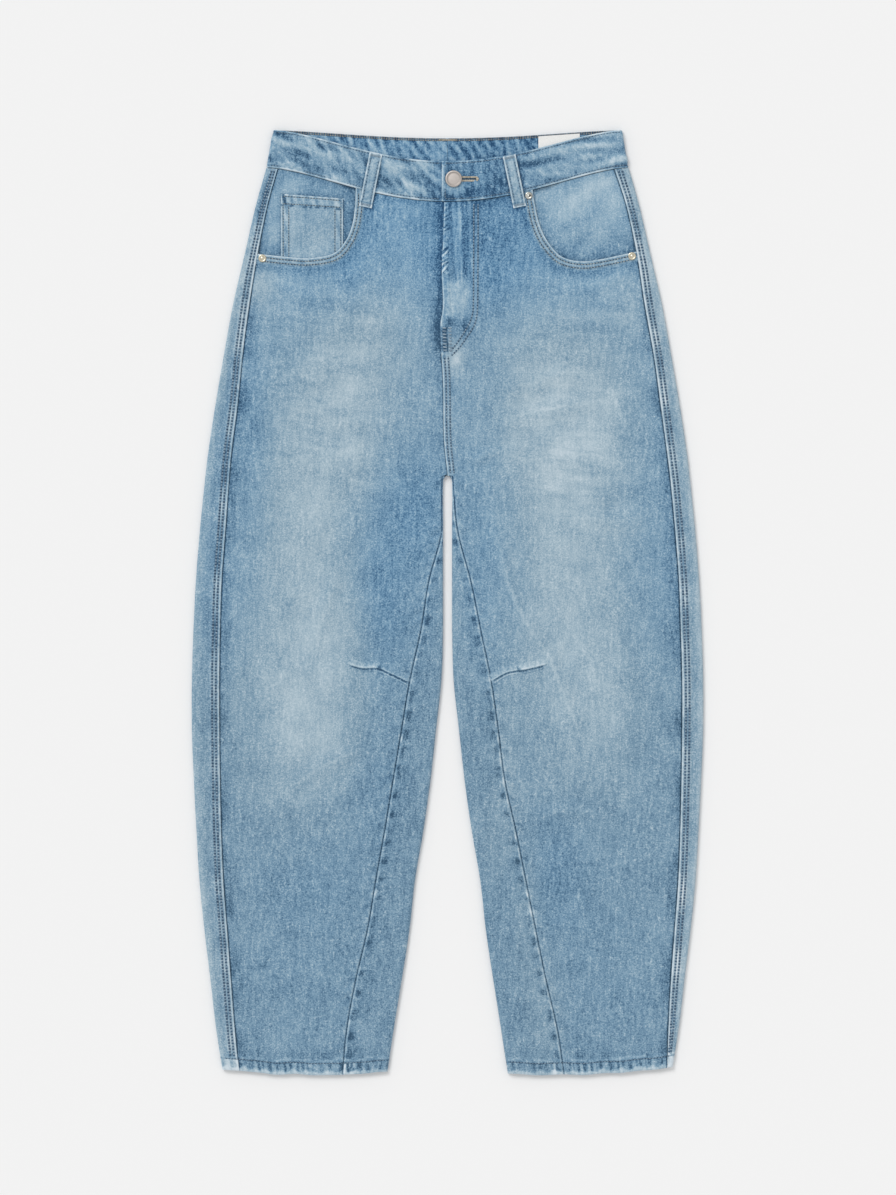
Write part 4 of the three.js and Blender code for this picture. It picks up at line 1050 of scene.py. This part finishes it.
def makeDarts(paint):
    for side in sides:
        line = seamLines["dart", side]
        length, knot = line["s"][-1], dartKnots[side]

        def shape(run, d, x, y):
            beyond = ease(run, knot - 1, knot + 3)
            tail = 1 - ease(run, length - 12, length - 1)
            lump = near(run - knot - 4, 5) * near(d - 3, 2.6)
            lift = 0.5 * lump + (0.3 * near(d - 2, 1.5) * beyond) * tail - 1.1 * (1 - ease(run, 0, 3))
            lift = lift - 0.9 * (1 - tail)
            fine = np.clip(0.4 + waver(x, 5, 171), 0, 1)
            wear = tail * (0.38 * near(d - 1.7, 0.8 + 0.6 * beyond) + 0.2 * near(d - 5, 3) * fine)
            wear += 0.2 * lump + 0.5 * near(d + 1.6, 0.8) * (1 - beyond)
            ink = tail * 1.5 * near(d - 0.1, 0.95) + 1.4 * near(run - knot + 1.5, 1.8) * near(d - 1.6, 2.2)
            ink += 0.18 * near(d + 3, 2) * tail
            base = frontFields(side, x, y)
            values = dict(fade=base["fade"] + 0.04 * near(d - 4, 4) * tail, wear=wear, ink=ink,
                          fresh=base["fresh"], whisker=base["whisker"])
            return lift, {key: np.clip(value, -1, 1.2) for key, value in values.items()}

        makeStrip("knee_dart_" + side, line, sides[side], frontSurface(side), dartProfile, shape, False,
                  paint)


# Turns a profile of radius and height about an upright axis, with dark rings
def turnedPiece(name, node, profile, place, paint, rings):
    bm = bmesh.new()
    verts = [bm.verts.new((radius * mm, 0, height * mm)) for radius, height in profile]
    edges = [bm.edges.new((a, b)) for a, b in zip(verts, verts[1:])]
    bmesh.ops.spin(bm, geom=verts + edges, cent=(0, 0, 0), axis=(0, 0, 1), angle=2 * math.pi, steps=48,
                   use_merge=True)
    bmesh.ops.remove_doubles(bm, verts=bm.verts, dist=0.01 * mm)
    bmesh.ops.recalc_face_normals(bm, faces=bm.faces)
    spots = np.array([v.co[:] for v in bm.verts]) / mm
    bmesh.ops.translate(bm, verts=bm.verts, vec=[c * mm for c in place])
    mesh = meshFrom(bm, name)
    shade = sum(strength * near(np.hypot(spots[:, 0] - aside, spots[:, 1]) - radius, width)
                for aside, radius, width, strength in rings)
    addField(mesh, "dark", np.clip(shade, 0, 1))
    piece = addObject(name, mesh)
    shadeSoft(piece, 40)
    enter(piece, paint, node)


def makeButton(paint):
    seat = band["height"] - lap["underDrop"] + cloth["seamGap"]
    cap = band["height"] + lap["overRise"] + cloth["seamGap"] - seat
    radius, top = button["radius"], cap + button["capThick"] - 0.6
    profile = [
        (0, 0), (button["neck"], 0), (button["neck"], cap), (radius - 1.2, cap), (radius - 0.4, cap + 0.3),
        (radius, cap + 0.9), (radius, cap + 1.7), (radius - 0.3, top - 0.3), (radius - 0.9, top),
        (radius - 1.5, top - 0.05), (radius - 1.9, top - 0.45), (radius - 2.4, top - 0.6), (5, top - 0.42),
        (3, top - 0.3), (1.5, top - 0.26), (0, top - 0.25),
    ]
    turnedPiece("button_cap", "button", profile, (button["x"], button["y"], seat), paint,
                [(0, radius - 2.1, 0.5, 0.5), (0, radius - 0.2, 0.5, 0.35), (0, 4, 0.7, 0.16)])


rivets = {
    "rivet_left_lower": ("rivet_gold", -196.7, 365.5),
    "rivet_right_lower": ("rivet_gold", 196, 367.8),
    "rivet_right_upper": ("rivet_silver", 86.3, 432),
}
# Dark rings of each kind: how far aside their centre is, radius, width and strength. On the silver cap the
# dark spot off the centre and the dark rim are a painted reflection
rivetKinds = {
    "rivet_gold": {
        "profile": [(0, 0), (4.1, 0), (4.2, 0.35), (4.05, 0.75), (3.6, 1.0), (3.0, 1.0), (2.6, 0.78),
                    (2.0, 0.74), (1.5, 0.8), (1.2, 1.1), (0.7, 1.22), (0, 1.25)],
        "rings": [(0, 2.1, 0.5, 0.45), (0, 4.0, 0.4, 0.5)],
    },
    "rivet_silver": {
        "profile": [(0, 0), (3.9, 0), (4.0, 0.4), (3.9, 0.9), (3.4, 1.25), (2.6, 1.3), (2.2, 1.05),
                    (1.9, 1.0), (1.5, 1.3), (0.9, 1.65), (0, 1.75)],
        "rings": [(1.3, 0, 1.5, 1.3), (0, 4.0, 0.5, 1.0)],
    },
}


def makeRivets(paints):
    level = cloth["lay"] + cloth["seamGap"] + 0.25
    for name, (kind, x, y) in rivets.items():
        made = rivetKinds[kind]
        turnedPiece(name + "_cap", name, made["profile"], (x, y, level), paints[kind], made["rings"])


label = {"x": 118.5, "width": 44, "height": 34, "thick": 0.9}


def makeLabel(paint):
    t = np.linspace(0, 1, 26)
    across, down = np.meshgrid(t, t)
    x = label["x"] + (across - 0.5) * label["width"]
    top = bandEdge(x / band["topHalf"], 1, False)[1] - 1.6
    y = top - down * label["height"]
    z = band["thick"] + cloth["seamGap"] + label["thick"] + 0.12 * waver(x, 30, 3) * down
    piece = gridPiece("label_tape", stacked(x, y, z), {}, label["thick"] - 0.2, (3, 3))
    enter(piece, paint, "label")


# A loop of cloth: places along its route, with rounded folded edges
def makeLoop(name, node, points, paint):
    line = evenly(np.array(points, float), 0.8)
    p, n, s = line["p"], line["n"], line["s"][:, None]
    v, h = roundedLoop(loops["width"], loops["thick"] / 2, 0.8)
    d = v - loops["width"] / 2
    x, y = p[:, 0:1] + n[:, 0:1] * d, p[:, 1:2] + n[:, 1:2] * d
    length = line["s"][-1]
    fromMiddle, fromEnd, outside = np.abs(d), s - length, h > 0
    tacked = near(s - 2.5, 2.2) + near(fromEnd + 2.5, 2.2)
    relief = 0.1 * waver(s, 7, 141) - 0.2 * near(fromMiddle - loops["rowX"], 0.7)
    z = p[:, 2:3] + h + outside * relief * (fromMiddle < 5.8) - 0.35 * tacked * outside * (fromMiddle < 5.5)
    tone, edge = (0.17, 0.34) if name == "loop_front_right" else (0.19, 0.36)
    streaks = waver(s + 0.8 * d, 9, 143)
    worn = edge * near(fromMiddle - 6.1, 1.0) + 0.3 * near(s - 0.6, 1.4) + 0.5 * near(fromEnd + 1.4, 1.5)
    ink = 0.55 * near(fromMiddle - loops["rowX"], 0.9) + 0.34 * np.clip(streaks, 0, 1)
    ink += (0.25 * near(s - 4.5, 1.4) + 0.6 * near(fromEnd + 4.8, 0.9))
    wear = np.clip(worn + 0.1 * np.clip(-streaks, 0, 1), 0, 1)
    fields = dict(fade=tone + 0.05 * streaks, wear=wear, ink=ink, pucker=0.5 + 0 * x, fresh=0.2 + 0 * x)
    piece = gridPiece(name, stacked(x, y, z), fields, closed=True)
    layCloth(piece, node, (loops["width"] + 0.6, length + 1.6), paint)
    return line


# A front loop goes over the band and down to the cloth below it
def frontLoopRoute(side):
    top, bottom = np.array(loops[side]["top"]), np.array(loops[side]["bottom"])
    lift = max(0, float(bandLift(side, top[0] - loops["width"] / 2)))
    over = band["height"] + lift + 1.1
    down = cloth["lay"] + cloth["seamGap"] + 0.65
    heights = [(0, over - 0.3), (0.05, over), (0.3, over + 0.45), (0.5, over + 0.4), (0.68, over + 0.1),
               (0.74, over - 0.3), (0.84, down + 0.1), (0.92, down), (1, down)]
    fine = np.linspace(0, 1, 60)
    z = np.interp(fine, *np.array(heights).T)
    z = np.convolve(np.pad(z, 3, mode="edge"), np.ones(7) / 7, mode="valid")
    return stacked(*(top[:, None] + (bottom - top)[:, None] * fine), z)


def makeLoops(paint):
    lines = []
    for side in sides:
        lines.append(makeLoop("loop_front_" + side, "belt_loop_front_" + side, frontLoopRoute(side), paint))
    for place, x in loops["backX"].items():
        top = bandEdge(x / band["topHalf"], 1, False)[1] - 0.5
        seam = bandEdge(x / band["seamHalf"], 0, False)[1] + 0.5
        points = stacked(x, np.linspace(top, seam, 12), 0.62)
        makeLoop("loop_back_" + place, "belt_loop_back_" + place, points, paint)
    return lines


# Small rounded grains in one mesh, each from one end to the other
def grains(name, a, b, wide, tall, paint, sway=0.0):
    seed = bmesh.new()
    bmesh.ops.create_uvsphere(seed, u_segments=6, v_segments=4, radius=1)
    one = meshFrom(seed, "grain")
    base = np.array([v.co[:] for v in one.vertices])
    bm = bmesh.new()
    for _ in a:
        bm.from_mesh(one)
    mesh = meshFrom(bm, name)
    bpy.data.meshes.remove(one)
    along = (b - a) / 2
    size = np.linalg.norm(along, axis=1, keepdims=True)
    across = np.cross([0, 0, 1], along)
    across /= np.maximum(np.linalg.norm(across, axis=1, keepdims=True), 1e-9)
    upward = np.cross(along / size, across)
    draw = np.random.default_rng(len(a))
    turned = along + across * draw.normal(0, 1, (len(a), 1)) * sway
    tip = np.sign(base[:, 2]) * np.abs(base[:, 2]) ** 0.8
    co = (a + b)[:, None, :] / 2 + tip[None, :, None] * turned[:, None, :]
    co += base[None, :, 0:1] * across[:, None, :] * wide / 2
    co += base[None, :, 1:2] * upward[:, None, :] * tall / 2
    mesh.vertices.foreach_set("co", (co * mm).ravel())
    addField(mesh, "tone", np.repeat(draw.uniform(0, 1, len(a)), len(base)))
    mesh.polygons.foreach_set("use_smooth", [True] * len(mesh.polygons))
    enter(addObject(name, mesh), paint)


# Rows of places sewn at an even pitch: a thread, then a dark blob of painted shade in the hole where it dips
def sew(name, rows, paint, pitch=3.2, length=2.0, wide=0.85, hole=1.7, kind="thread"):
    stitches, holes = [], []
    for row in rows:
        fine = np.asarray(row, float)
        run = np.concatenate([[0], np.cumsum(np.linalg.norm(np.diff(fine, axis=0), axis=1))])
        for k in range(int(run[-1] / pitch)):
            start, end = (k + 0.5) * pitch - length / 2, (k + 0.5) * pitch + length / 2
            for spots, ends in ((stitches, (start, end)), (holes, (end - 0.25, start + pitch + 0.25))):
                spots.append([[np.interp(e, run, fine[:, c]) for c in range(3)] for e in ends])
    stitches, holes = np.array(stitches), np.array(holes)
    grains("stitches_" + name, stitches[:, 0], stitches[:, 1], wide, 0.6, paint[kind], 0.07)
    grains("needle_hole_shade_" + name, holes[:, 0], holes[:, 1], hole, 0.5, paint["hole"])
    print("sewn", name, len(stitches))


# A line moved sideways, with its height taken from a surface
def rowBeside(line, offset, surface, lift, ends=0):
    keep = (line["s"] >= ends) & (line["s"] <= line["s"][-1] - ends)
    x, y = (line["p"] + line["n"] * offset)[keep].T
    return stacked(x, y, surface(x, y) + lift)


def sewSideSeams(paint):
    plain = np.linspace(band["seamY"] - 1, -486, 640)
    for side in sides:
        rows = []
        flat = outlineAt(plain) - cloth["lay"] / 2 - outseamAt(side, plain)
        for d in sideRows:
            x = sides[side] * (outseamAt(side, plain) + halfGap + d * squeezeIn(flat))
            y = rowY(side, plain, x, band["frontSeamDip"])
            rows.append(stacked(x, y, cloth["lay"] + 0.5 + 0.25 * waver(plain, 52, 64)))
        sew("side_" + side, rows, paint, length=1.6, wide=2.2, hole=3.0)


def frontSurface(side):
    return lambda x, y: frontTop(side, x, y)


# Which side of the pocket line the front lies on: its normal points left of its direction
def towardPanel(side):
    return 1 if side == "left" else -1


def sewPockets(paint):
    rows = [rowBeside(seamLines["pocket", side], d * towardPanel(side), frontSurface(side), 0.34, 10)
            for side in sides for d in pocketRows]
    sew("pockets", rows, paint, wide=1.2, hole=1.8, kind="khaki")


flyCurves = [
    [(32.4, 424), (32.4, 390), (32.2, 350), (32, 318), (31, 304), (27.6, 293), (20, 281), (11.5, 269.5),
     (4, 262)],
    [(27.8, 424), (27.8, 390), (27.6, 350), (27.4, 320), (26.6, 307), (23.4, 297), (16.5, 285), (9, 274),
     (3, 267)],
]


def sewFly(paint):
    top = frontSurface("right")
    rows = [rowBeside(route(points), 0, top, 0.18) for points in flyCurves]
    y = np.linspace(262, crotch["y"] + 3, 90)
    rows += [stacked(flyAt(y) + d, y, top(flyAt(y) + d, y) + 0.42) for d in (3.4, 7.2)]
    sew("fly", rows, paint, length=1.9, wide=1.5, hole=2.1)
    bars = []
    for y in np.arange(268, 294, 3.4):
        for low, high in ((1.8, 6.6), (8.2, 12)):
            x, level = flyAt(y) + np.array([low, high]), np.array([y, y - 0.5])
            bars.append(stacked(x, level, top(x, level) + 0.5))
    bars = np.array(bars)
    grains("stitches_fly_tack", bars[:, 0], bars[:, 1], 1.9, 0.8, paint["thread"])


def sewHems(paint):
    rows = []
    ax = np.linspace(gapAt(cloth["foot"]) + 3, outlineAt(cloth["foot"] + 5) - 3, 300)
    for side in sides:
        x = sides[side] * ax
        y = footAt(side, x) + cloth["hemRow"]
        inFront = (ax < outseamAt(side, y) - 0.4) & (ax > inseamAt(side, y) + 0.4)
        z = np.where(inFront, frontTop(side, x, y), cloth["lay"] + cloth["hemExtra"] - 0.35)
        rows.append(stacked(x, y, z + 0.2))
    sew("hems", rows, paint, length=2.1, wide=0.75, hole=1.1)


def sewBand(paint):
    rows, inside = [], []
    for side, sign in sides.items():
        start = -8.5 if side == "left" else -3
        for v in (band["lowRow"], bandWidth - band["highRow"]):
            share = v / bandWidth
            half = band["seamHalf"] + (band["topHalf"] - band["seamHalf"]) * share
            x = np.linspace(start, sign * (half - 2.5), 200)
            y = bandEdge(x / half, share, True)[1]
            rows.append(stacked(x, y, band["height"] + bandLift(side, x) - 0.06))
        x = np.linspace(sign * 1, sign * 180, 200)
        for down in (0.8, 2.4):
            y = bandEdge(x / band["topHalf"], 1 - down / bandWidth, False)[1]
            inside.append(stacked(x, y, band["thick"] + 0.3))
    v = np.linspace(3, bandWidth - 4, 40)
    x, y = bandEdge(-2.6 / band["seamHalf"], v / bandWidth, True)
    rows.append(stacked(x, y, band["height"] + lap["overRise"]))
    sew("band", rows, paint, length=2.1, wide=0.7, hole=1.1)
    sew("band_inside", inside, paint, pitch=2.6, length=1.7, wide=1.5, hole=1.3, kind="brown")


def sewButtonhole(paint):
    outline = buttonholeOutline()
    line = evenly(np.array(outline + outline[:1], float), 0.72)
    centre = np.array([18.0, button["y"]])
    level = band["height"] + lap["overRise"] + 0.14
    a, b = [], []
    for p, n in zip(line["p"], line["n"]):
        outward = n if np.dot(n, p - centre) > 0 else -n
        if p[0] > button["x"] + 3:
            a.append((*(p - outward * 0.5), level - 0.1))
            b.append((*(p + outward * 1.7), level))
    for y in np.arange(-2, 2.1, 0.66):
        a.append((buttonhole["endX"] - 0.8, button["y"] + y, level + 0.15))
        b.append((buttonhole["endX"] + 2.6 - 0.6 * abs(y), button["y"] + y, level + 0.15))
    grains("stitches_buttonhole", np.array(a), np.array(b), 0.95, 0.8, paint["tan"], 0.1)


def sewLoops(lines, paint):
    rows, a, b = [], [], []
    face = loops["thick"] / 2
    for line in lines:
        p, n, t, s = line["p"], line["n"], line["t"], line["s"]
        keep = (s > 5) & (s < s[-1] - 5)
        for d in (-loops["rowX"], loops["rowX"]):
            rows.append(np.hstack([(p[:, :2] + n * d)[keep], (p[:, 2:3] + face)[keep]]))
        for end in (2.8, s[-1] - 2.8):
            i = int(np.argmin(np.abs(s - end)))
            z = p[i, 2] + face - 0.18
            for k in np.arange(-5.2, 5.3, 0.8):
                middle = p[i, :2] + n[i] * k
                a.append((*(middle - t[i] * 1.5), z))
                b.append((*(middle + t[i] * 1.5), z))
    sew("loops", rows, paint, wide=0.75, hole=1.0)
    grains("stitches_loop_tacks", np.array(a), np.array(b), 0.7, 0.6, paint["thread"], 0.08)


def sewCoinPocket(paint):
    width, tall = coin["width"], coin["tall"]
    rows = []
    for down in (2.4, coin["hem"] - 0.8):
        x, y, z = coinPlace(np.linspace(2.4, width - 2.4, 60) / width, down / tall)
        rows.append(stacked(x, y, z + 0.2))
    for across, start in ((2.4, 2.6), (8.4, 12), (width - 2.4, 2.6), (width - 8.6, 12)):
        x, y, z = coinPlace(across / width, np.linspace(start, tall - 3, 60) / tall)
        rows.append(stacked(x, y, z - 0.02))
    sew("coin_pocket", rows, paint, pitch=3.0, length=1.9, wide=0.9, hole=1.3, kind="khaki")


def sewUnderside(paint):
    rows = []
    level = 0.18
    for side, sign in sides.items():
        x = sign * np.linspace(gapAt(cloth["foot"]) + 4, outlineAt(cloth["foot"] + 5) - 5, 200)
        rows.append(stacked(x, footAt(side, x) + cloth["hemRow"], level))
    y = np.linspace(float(bandEdge(0, 0, False)[1]) - 3, crotch["y"] + 6, 200)
    rows += [stacked(x, y, level) for x in (3.2, 8.6)]
    sew("underside", rows, paint, hole=1.1)


backPocket = {
    "innerX": 28, "outerX": 166, "topY": 335, "sideY": 222, "pointY": 196, "taper": 4, "level": -0.12,
}


def sewBackPockets(paint):
    rows = []
    innerX, outerX, taper = backPocket["innerX"], backPocket["outerX"], backPocket["taper"]
    topY, sideY, level = backPocket["topY"], backPocket["sideY"], backPocket["level"]
    for sign in sides.values():
        for d in (2.2, 8):
            corners = [(innerX + d, topY - 2), (innerX + taper + d, sideY + d * 0.6),
                       ((innerX + outerX) / 2, backPocket["pointY"] + d),
                       (outerX - taper - d, sideY + d * 0.6), (outerX - d, topY - 2)]
            rows.append([(sign * x, y, level) for x, y in corners])
        rows.append([(sign * x, topY - 10, level) for x in (innerX + 3, outerX - 3)])
    sew("back_pockets", rows, paint, hole=1.2, kind="khaki")


# The tack at the centre of the back rim
def sewBackTack(paint):
    top = float(bandEdge(0, 1, False)[1])
    x = np.arange(-9, 9.1, 0.9)
    level = band["thick"] + 0.25
    grains("stitches_back_tack", stacked(x, top - 0.5, level), stacked(x + 0.4, top - 3.1, level), 0.85, 0.9,
           paint["tan"], 0.12)


# Shader values joined as in a sum
class Wire:
    def __init__(self, tree, socket):
        self.tree, self.socket = tree, socket

    def maths(self, operation, first, second):
        node = self.tree.nodes.new("ShaderNodeMath")
        node.operation = operation
        for slotIndex, value in enumerate((first, second)):
            if isinstance(value, Wire):
                self.tree.links.new(value.socket, node.inputs[slotIndex])
            else:
                node.inputs[slotIndex].default_value = value
        return Wire(self.tree, node.outputs[0])

    def __add__(self, other):
        return self.maths("ADD", self, other)

    def __sub__(self, other):
        return self.maths("SUBTRACT", self, other)

    def __rsub__(self, other):
        return self.maths("SUBTRACT", other, self)

    def __mul__(self, other):
        return self.maths("MULTIPLY", self, other)

    __radd__, __rmul__ = __add__, __mul__


class Finish:
    def __init__(self, name):
        self.material = bpy.data.materials.new(name)
        self.material.use_nodes = True
        self.tree = self.material.node_tree
        self.shader = self.tree.nodes["Principled BSDF"]

    # Any node: its type, its settings, and the values or links of its sockets
    def node(self, kind, settings=None, sockets=None, output=0):
        made = self.tree.nodes.new(kind)
        for key, value in (settings or {}).items():
            if key == "stops":
                ramp = made.color_ramp
                while len(ramp.elements) < len(value):
                    ramp.elements.new(0.5)
                for element, (place, colour) in zip(ramp.elements, value):
                    element.position = place
                    element.color = colour
            else:
                setattr(made, key, value)
        for key, value in (sockets or {}).items():
            self.plug(made.inputs[key], value)
        return Wire(self.tree, made.outputs[output])

    def plug(self, socket, value):
        if isinstance(value, Wire):
            self.tree.links.new(value.socket, socket)
        else:
            socket.default_value = value

    def set(self, **values):
        for key, value in values.items():
            self.plug(self.shader.inputs[key.replace("_", " ")], value)
        return self.material

    def places(self):
        return self.node("ShaderNodeTexCoord", output="Object")

    def axis(self, where, name):
        return self.node("ShaderNodeSeparateXYZ", {}, {"Vector": where}, name)

    def sine(self, value):
        return self.node("ShaderNodeMath", {"operation": "SINE"}, {0: value})

    def field(self, name):
        return self.node("ShaderNodeAttribute", {"attribute_name": name}, output="Fac")

    # Two colours mixed: from the first to the second as the factor goes from 0 to 1
    def blend(self, factor, first, second):
        return self.node("ShaderNodeMix", {"data_type": "RGBA"}, {0: factor, 6: first, 7: second}, 2)

    def ramp(self, factor, stops):
        return self.node("ShaderNodeValToRGB", {"stops": stops}, {"Fac": factor}, "Color")

    def bump(self, height, distance, strength):
        sockets = {"Height": height, "Distance": distance * mm, "Strength": strength}
        return self.node("ShaderNodeBump", {}, sockets, "Normal")

    def noise(self, where, scale, detail=2.0, rough=0.5, distortion=0.0):
        return self.node("ShaderNodeTexNoise", {}, {"Vector": where, "Scale": scale, "Detail": detail,
                                                   "Roughness": rough, "Distortion": distortion}, "Fac")

    # Places turned, then squeezed: a noise on them is drawn out along the squeezed way
    def drawnOut(self, where, degrees, squeeze):
        turn = (0, 0, math.radians(degrees))
        turned = self.node("ShaderNodeMapping", {}, {"Vector": where, "Rotation": turn})
        return self.node("ShaderNodeMapping", {}, {"Vector": turned, "Scale": squeeze})


# A colour from its red, green and blue of 0 to 255, which may be darkened
def rgb(r, g, b, share=1):
    linear = [(c / 255) / 12.92 if c <= 10 else ((c / 255 + 0.055) / 1.055) ** 2.4 for c in (r, g, b)]
    return (*[c * share for c in linear], 1)


denimLook = {
    "base": 0.54,
    "washed": [(0.0, (51, 82, 106)), (0.2, (75, 107, 131)), (0.4, (103, 135, 160)), (0.53, (119, 151, 173)),
               (0.67, (144, 170, 187)), (0.8, (168, 189, 201)), (1.0, (208, 220, 228))],
    "fresh": [(0.0, (32, 74, 112)), (0.2, (61, 105, 142)), (0.4, (93, 136, 170)), (0.53, (114, 154, 185)),
              (0.67, (137, 172, 196)), (0.8, (159, 188, 206)), (1.0, (205, 221, 231))],
    "cloud": 0.3, "mottle": 0.36, "grain": 1.05, "warp": 0.38, "whisker": 0.4, "rope": 0.55,
    "wear": 0.62, "ink": 0.46, "twillPitch": 0.95, "twillDegrees": 62,
}


def makeDenim():
    look = denimLook
    paint = Finish("light_denim")
    where = paint.places()
    cloud = paint.noise(where, 32, 3, 0.55)
    mottle = paint.noise(where, 210, 3, 0.65, 0.3)
    grain = paint.noise(where, 640, 2, 0.8)
    warp = paint.noise(paint.drawnOut(where, 2, (1, 0.16, 1)), 330, 2, 0.6)
    whisker = paint.noise(paint.drawnOut(where, 5, (0.2, 1, 1)), 85, 2, 0.5)
    rope = paint.noise(paint.drawnOut(where, 42, (0.4, 1, 1)), 260, 2, 0.5)
    angle = math.radians(look["twillDegrees"])
    beat = 2 * math.pi / (look["twillPitch"] * mm)
    twill = paint.sine(paint.axis(where, "X") * (math.sin(angle) * beat)
                       - paint.axis(where, "Y") * (math.cos(angle) * beat))
    pucker, wear, ink = paint.field("pucker"), paint.field("wear"), paint.field("ink")
    tone = paint.field("fade") + look["base"]
    # Pale wear lightens the tone; dark dye and painted shade darken it
    tone += wear * look["wear"] * (0.62 + mottle * 0.7) - ink * look["ink"] * (0.7 + mottle * 0.6)
    tone += (rope - 0.5) * pucker * look["rope"]
    tone += (whisker - 0.5) * paint.field("whisker") * look["whisker"] + (cloud - 0.5) * look["cloud"]
    texture = (mottle - 0.5) * look["mottle"] + (grain - 0.5) * look["grain"] + (warp - 0.5) * look["warp"]
    texture += twill * 0.022
    tone += texture * (2.6 - tone * 2.6)
    colours = [paint.ramp(tone, [(place, rgb(*colour)) for place, colour in look[key]])
               for key in ("washed", "fresh")]
    colour = paint.blend(paint.field("fresh"), *colours)
    relief = grain * 0.2 + twill * 0.04 + rope * pucker * 0.3 + mottle * 0.25
    return paint.set(Base_Color=colour, Roughness=0.86 + (grain - 0.5) * 0.12,
                     Normal=paint.bump(relief, 0.8, 0.9), Specular_IOR_Level=0.2, Sheen_Weight=0.08,
                     Sheen_Roughness=0.6)


def makeThread(name, light, dark):
    paint = Finish(name)
    colour = paint.blend(paint.field("tone"), rgb(*dark), rgb(*light))
    twist = paint.noise(paint.places(), 2600, 1)
    return paint.set(Base_Color=colour, Roughness=0.7 + twist * 0.15, Normal=paint.bump(twist, 0.15, 0.8),
                     Specular_IOR_Level=0.3)


def makeMetal(name, colour, rough, brushed):
    paint = Finish(name)
    where = paint.places()
    fine = paint.noise(where, 1400, 3, 0.7)
    cloudy = paint.noise(where, 260, 2)
    light = paint.blend(cloudy * 0.8 + fine * 0.2, rgb(*colour, 0.78), rgb(*colour))
    shade = paint.blend(paint.field("dark"), light, rgb(*colour, 0.16))
    return paint.set(Base_Color=shade, Roughness=rough + (fine - 0.5) * 0.15,
                     Normal=paint.bump(fine, brushed, 0.6), Metallic=0.9)


def makeLabelFinish():
    paint = Finish("label_white")
    weave = paint.noise(paint.drawnOut(paint.places(), 0, (1, 0.3, 1)), 2200, 2)
    shade = paint.ramp(weave, [(0.3, rgb(222, 222, 220)), (0.7, rgb(246, 246, 244))])
    return paint.set(Base_Color=shade, Roughness=0.75 + weave * 0.1, Normal=paint.bump(weave, 0.2, 0.6))


def makeZipFinish():
    paint = Finish("zip_brass")
    toothPitch = 1.6 * mm
    tooth = paint.sine(paint.axis(paint.places(), "Y") * (2 * math.pi / toothPitch)) * 0.5 + 0.5
    shade = paint.ramp(tooth, [(0.3, rgb(90, 72, 44)), (0.6, rgb(190, 160, 104))])
    return paint.set(Base_Color=shade, Roughness=0.45 + tooth * 0.1, Metallic=0.6)


def makeFloor():
    bm = bmesh.new()
    bmesh.ops.create_grid(bm, x_segments=2, y_segments=2, size=60)
    mesh = meshFrom(bm, "floor")
    mesh.transform(Matrix.Translation((0, 0, -0.45 * mm)))  # under the stitches of the underside
    paint = Finish("pale_floor")
    mesh.materials.append(paint.set(Base_Color=rgb(243, 243, 243), Roughness=0.9, Specular_IOR_Level=0.1))
    addObject("floor", mesh)


studio = {
    "sky": 0.72, "sun": 1.2, "sunAngle": 26, "sunTilt": 44, "sunTurn": 128,
    "viewHeight": 1270.3, "centre": (0.5, 5.3), "distance": 6.0, "sensor": 36,
}


def makeStudio():
    scene = bpy.context.scene
    world = bpy.data.worlds.new("studio")
    world.use_nodes = True
    world.node_tree.nodes["Background"].inputs["Color"].default_value = (1, 1, 1, 1)
    world.node_tree.nodes["Background"].inputs["Strength"].default_value = studio["sky"]
    scene.world = world
    light = bpy.data.lights.new("window", "SUN")
    light.energy = studio["sun"]
    light.angle = math.radians(studio["sunAngle"])
    turn = Matrix.Rotation(math.radians(studio["sunTurn"]), 4, "Z")
    addObject("window", light).matrix_world = turn @ Matrix.Rotation(math.radians(studio["sunTilt"]), 4, "Y")
    cam = bpy.data.cameras.new("camera")
    cam.sensor_fit = "AUTO"
    cam.sensor_width = studio["sensor"]
    cam.lens = studio["sensor"] * studio["distance"] / (studio["viewHeight"] * mm)
    cam.clip_end = 50
    camera = addObject("camera", cam)
    camera.location = (studio["centre"][0] * mm, studio["centre"][1] * mm, studio["distance"])
    scene.camera = camera
    scene.view_settings.view_transform = "Standard"


makeFloor()
makeStudio()
print("studio made")

denim = makeDenim()
threads = {
    "thread": makeThread("grey_thread", (156, 176, 190), (112, 136, 156)),
    "khaki": makeThread("khaki_thread", (172, 176, 168), (118, 130, 136)),
    "tan": makeThread("tan_thread", (202, 194, 178), (152, 144, 128)),
    "brown": makeThread("brown_thread", (166, 162, 152), (104, 108, 112)),
    # Painted shade: the dark colour of the blobs in the needle holes
    "hole": makeThread("needle_hole_shade", (76, 106, 132), (48, 74, 100)),
}
for side in sides:
    makeBack(side, denim)
    makeFront(side, denim)
    print("panels made,", side)
    makeBand(side, denim)
    makeFacing(side, denim)
print("band and facings made")
makePocketEdges(denim)
makeStrip("fly_edge", flyLine(), 1, frontSurface("right"), flyProfile, flyShape, True, denim)
makeDarts(denim)
makeCoinPocket(denim)
loopLines = makeLoops(denim)
makeButton(makeMetal("button_metal", (216, 208, 202), 0.5, 0.05))
makeRivets({
    "rivet_gold": makeMetal("rivet_gold", (236, 228, 204), 0.34, 0.04),
    "rivet_silver": makeMetal("rivet_silver", (228, 228, 220), 0.24, 0.01),
})
makeLabel(makeLabelFinish())
print("small pieces made")
sewSideSeams(threads)
sewPockets(threads)
sewFly(threads)
sewHems(threads)
sewBand(threads)
sewButtonhole(threads)
sewLoops(loopLines, threads)
sewCoinPocket(threads)
sewUnderside(threads)
sewBackPockets(threads)
sewBackTack(threads)
print("sewing done")

zipFinish = makeZipFinish()
for node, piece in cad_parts.items():
    piece.data.materials.clear()
    piece.data.materials.append(zipFinish if node == "zip" else denim)
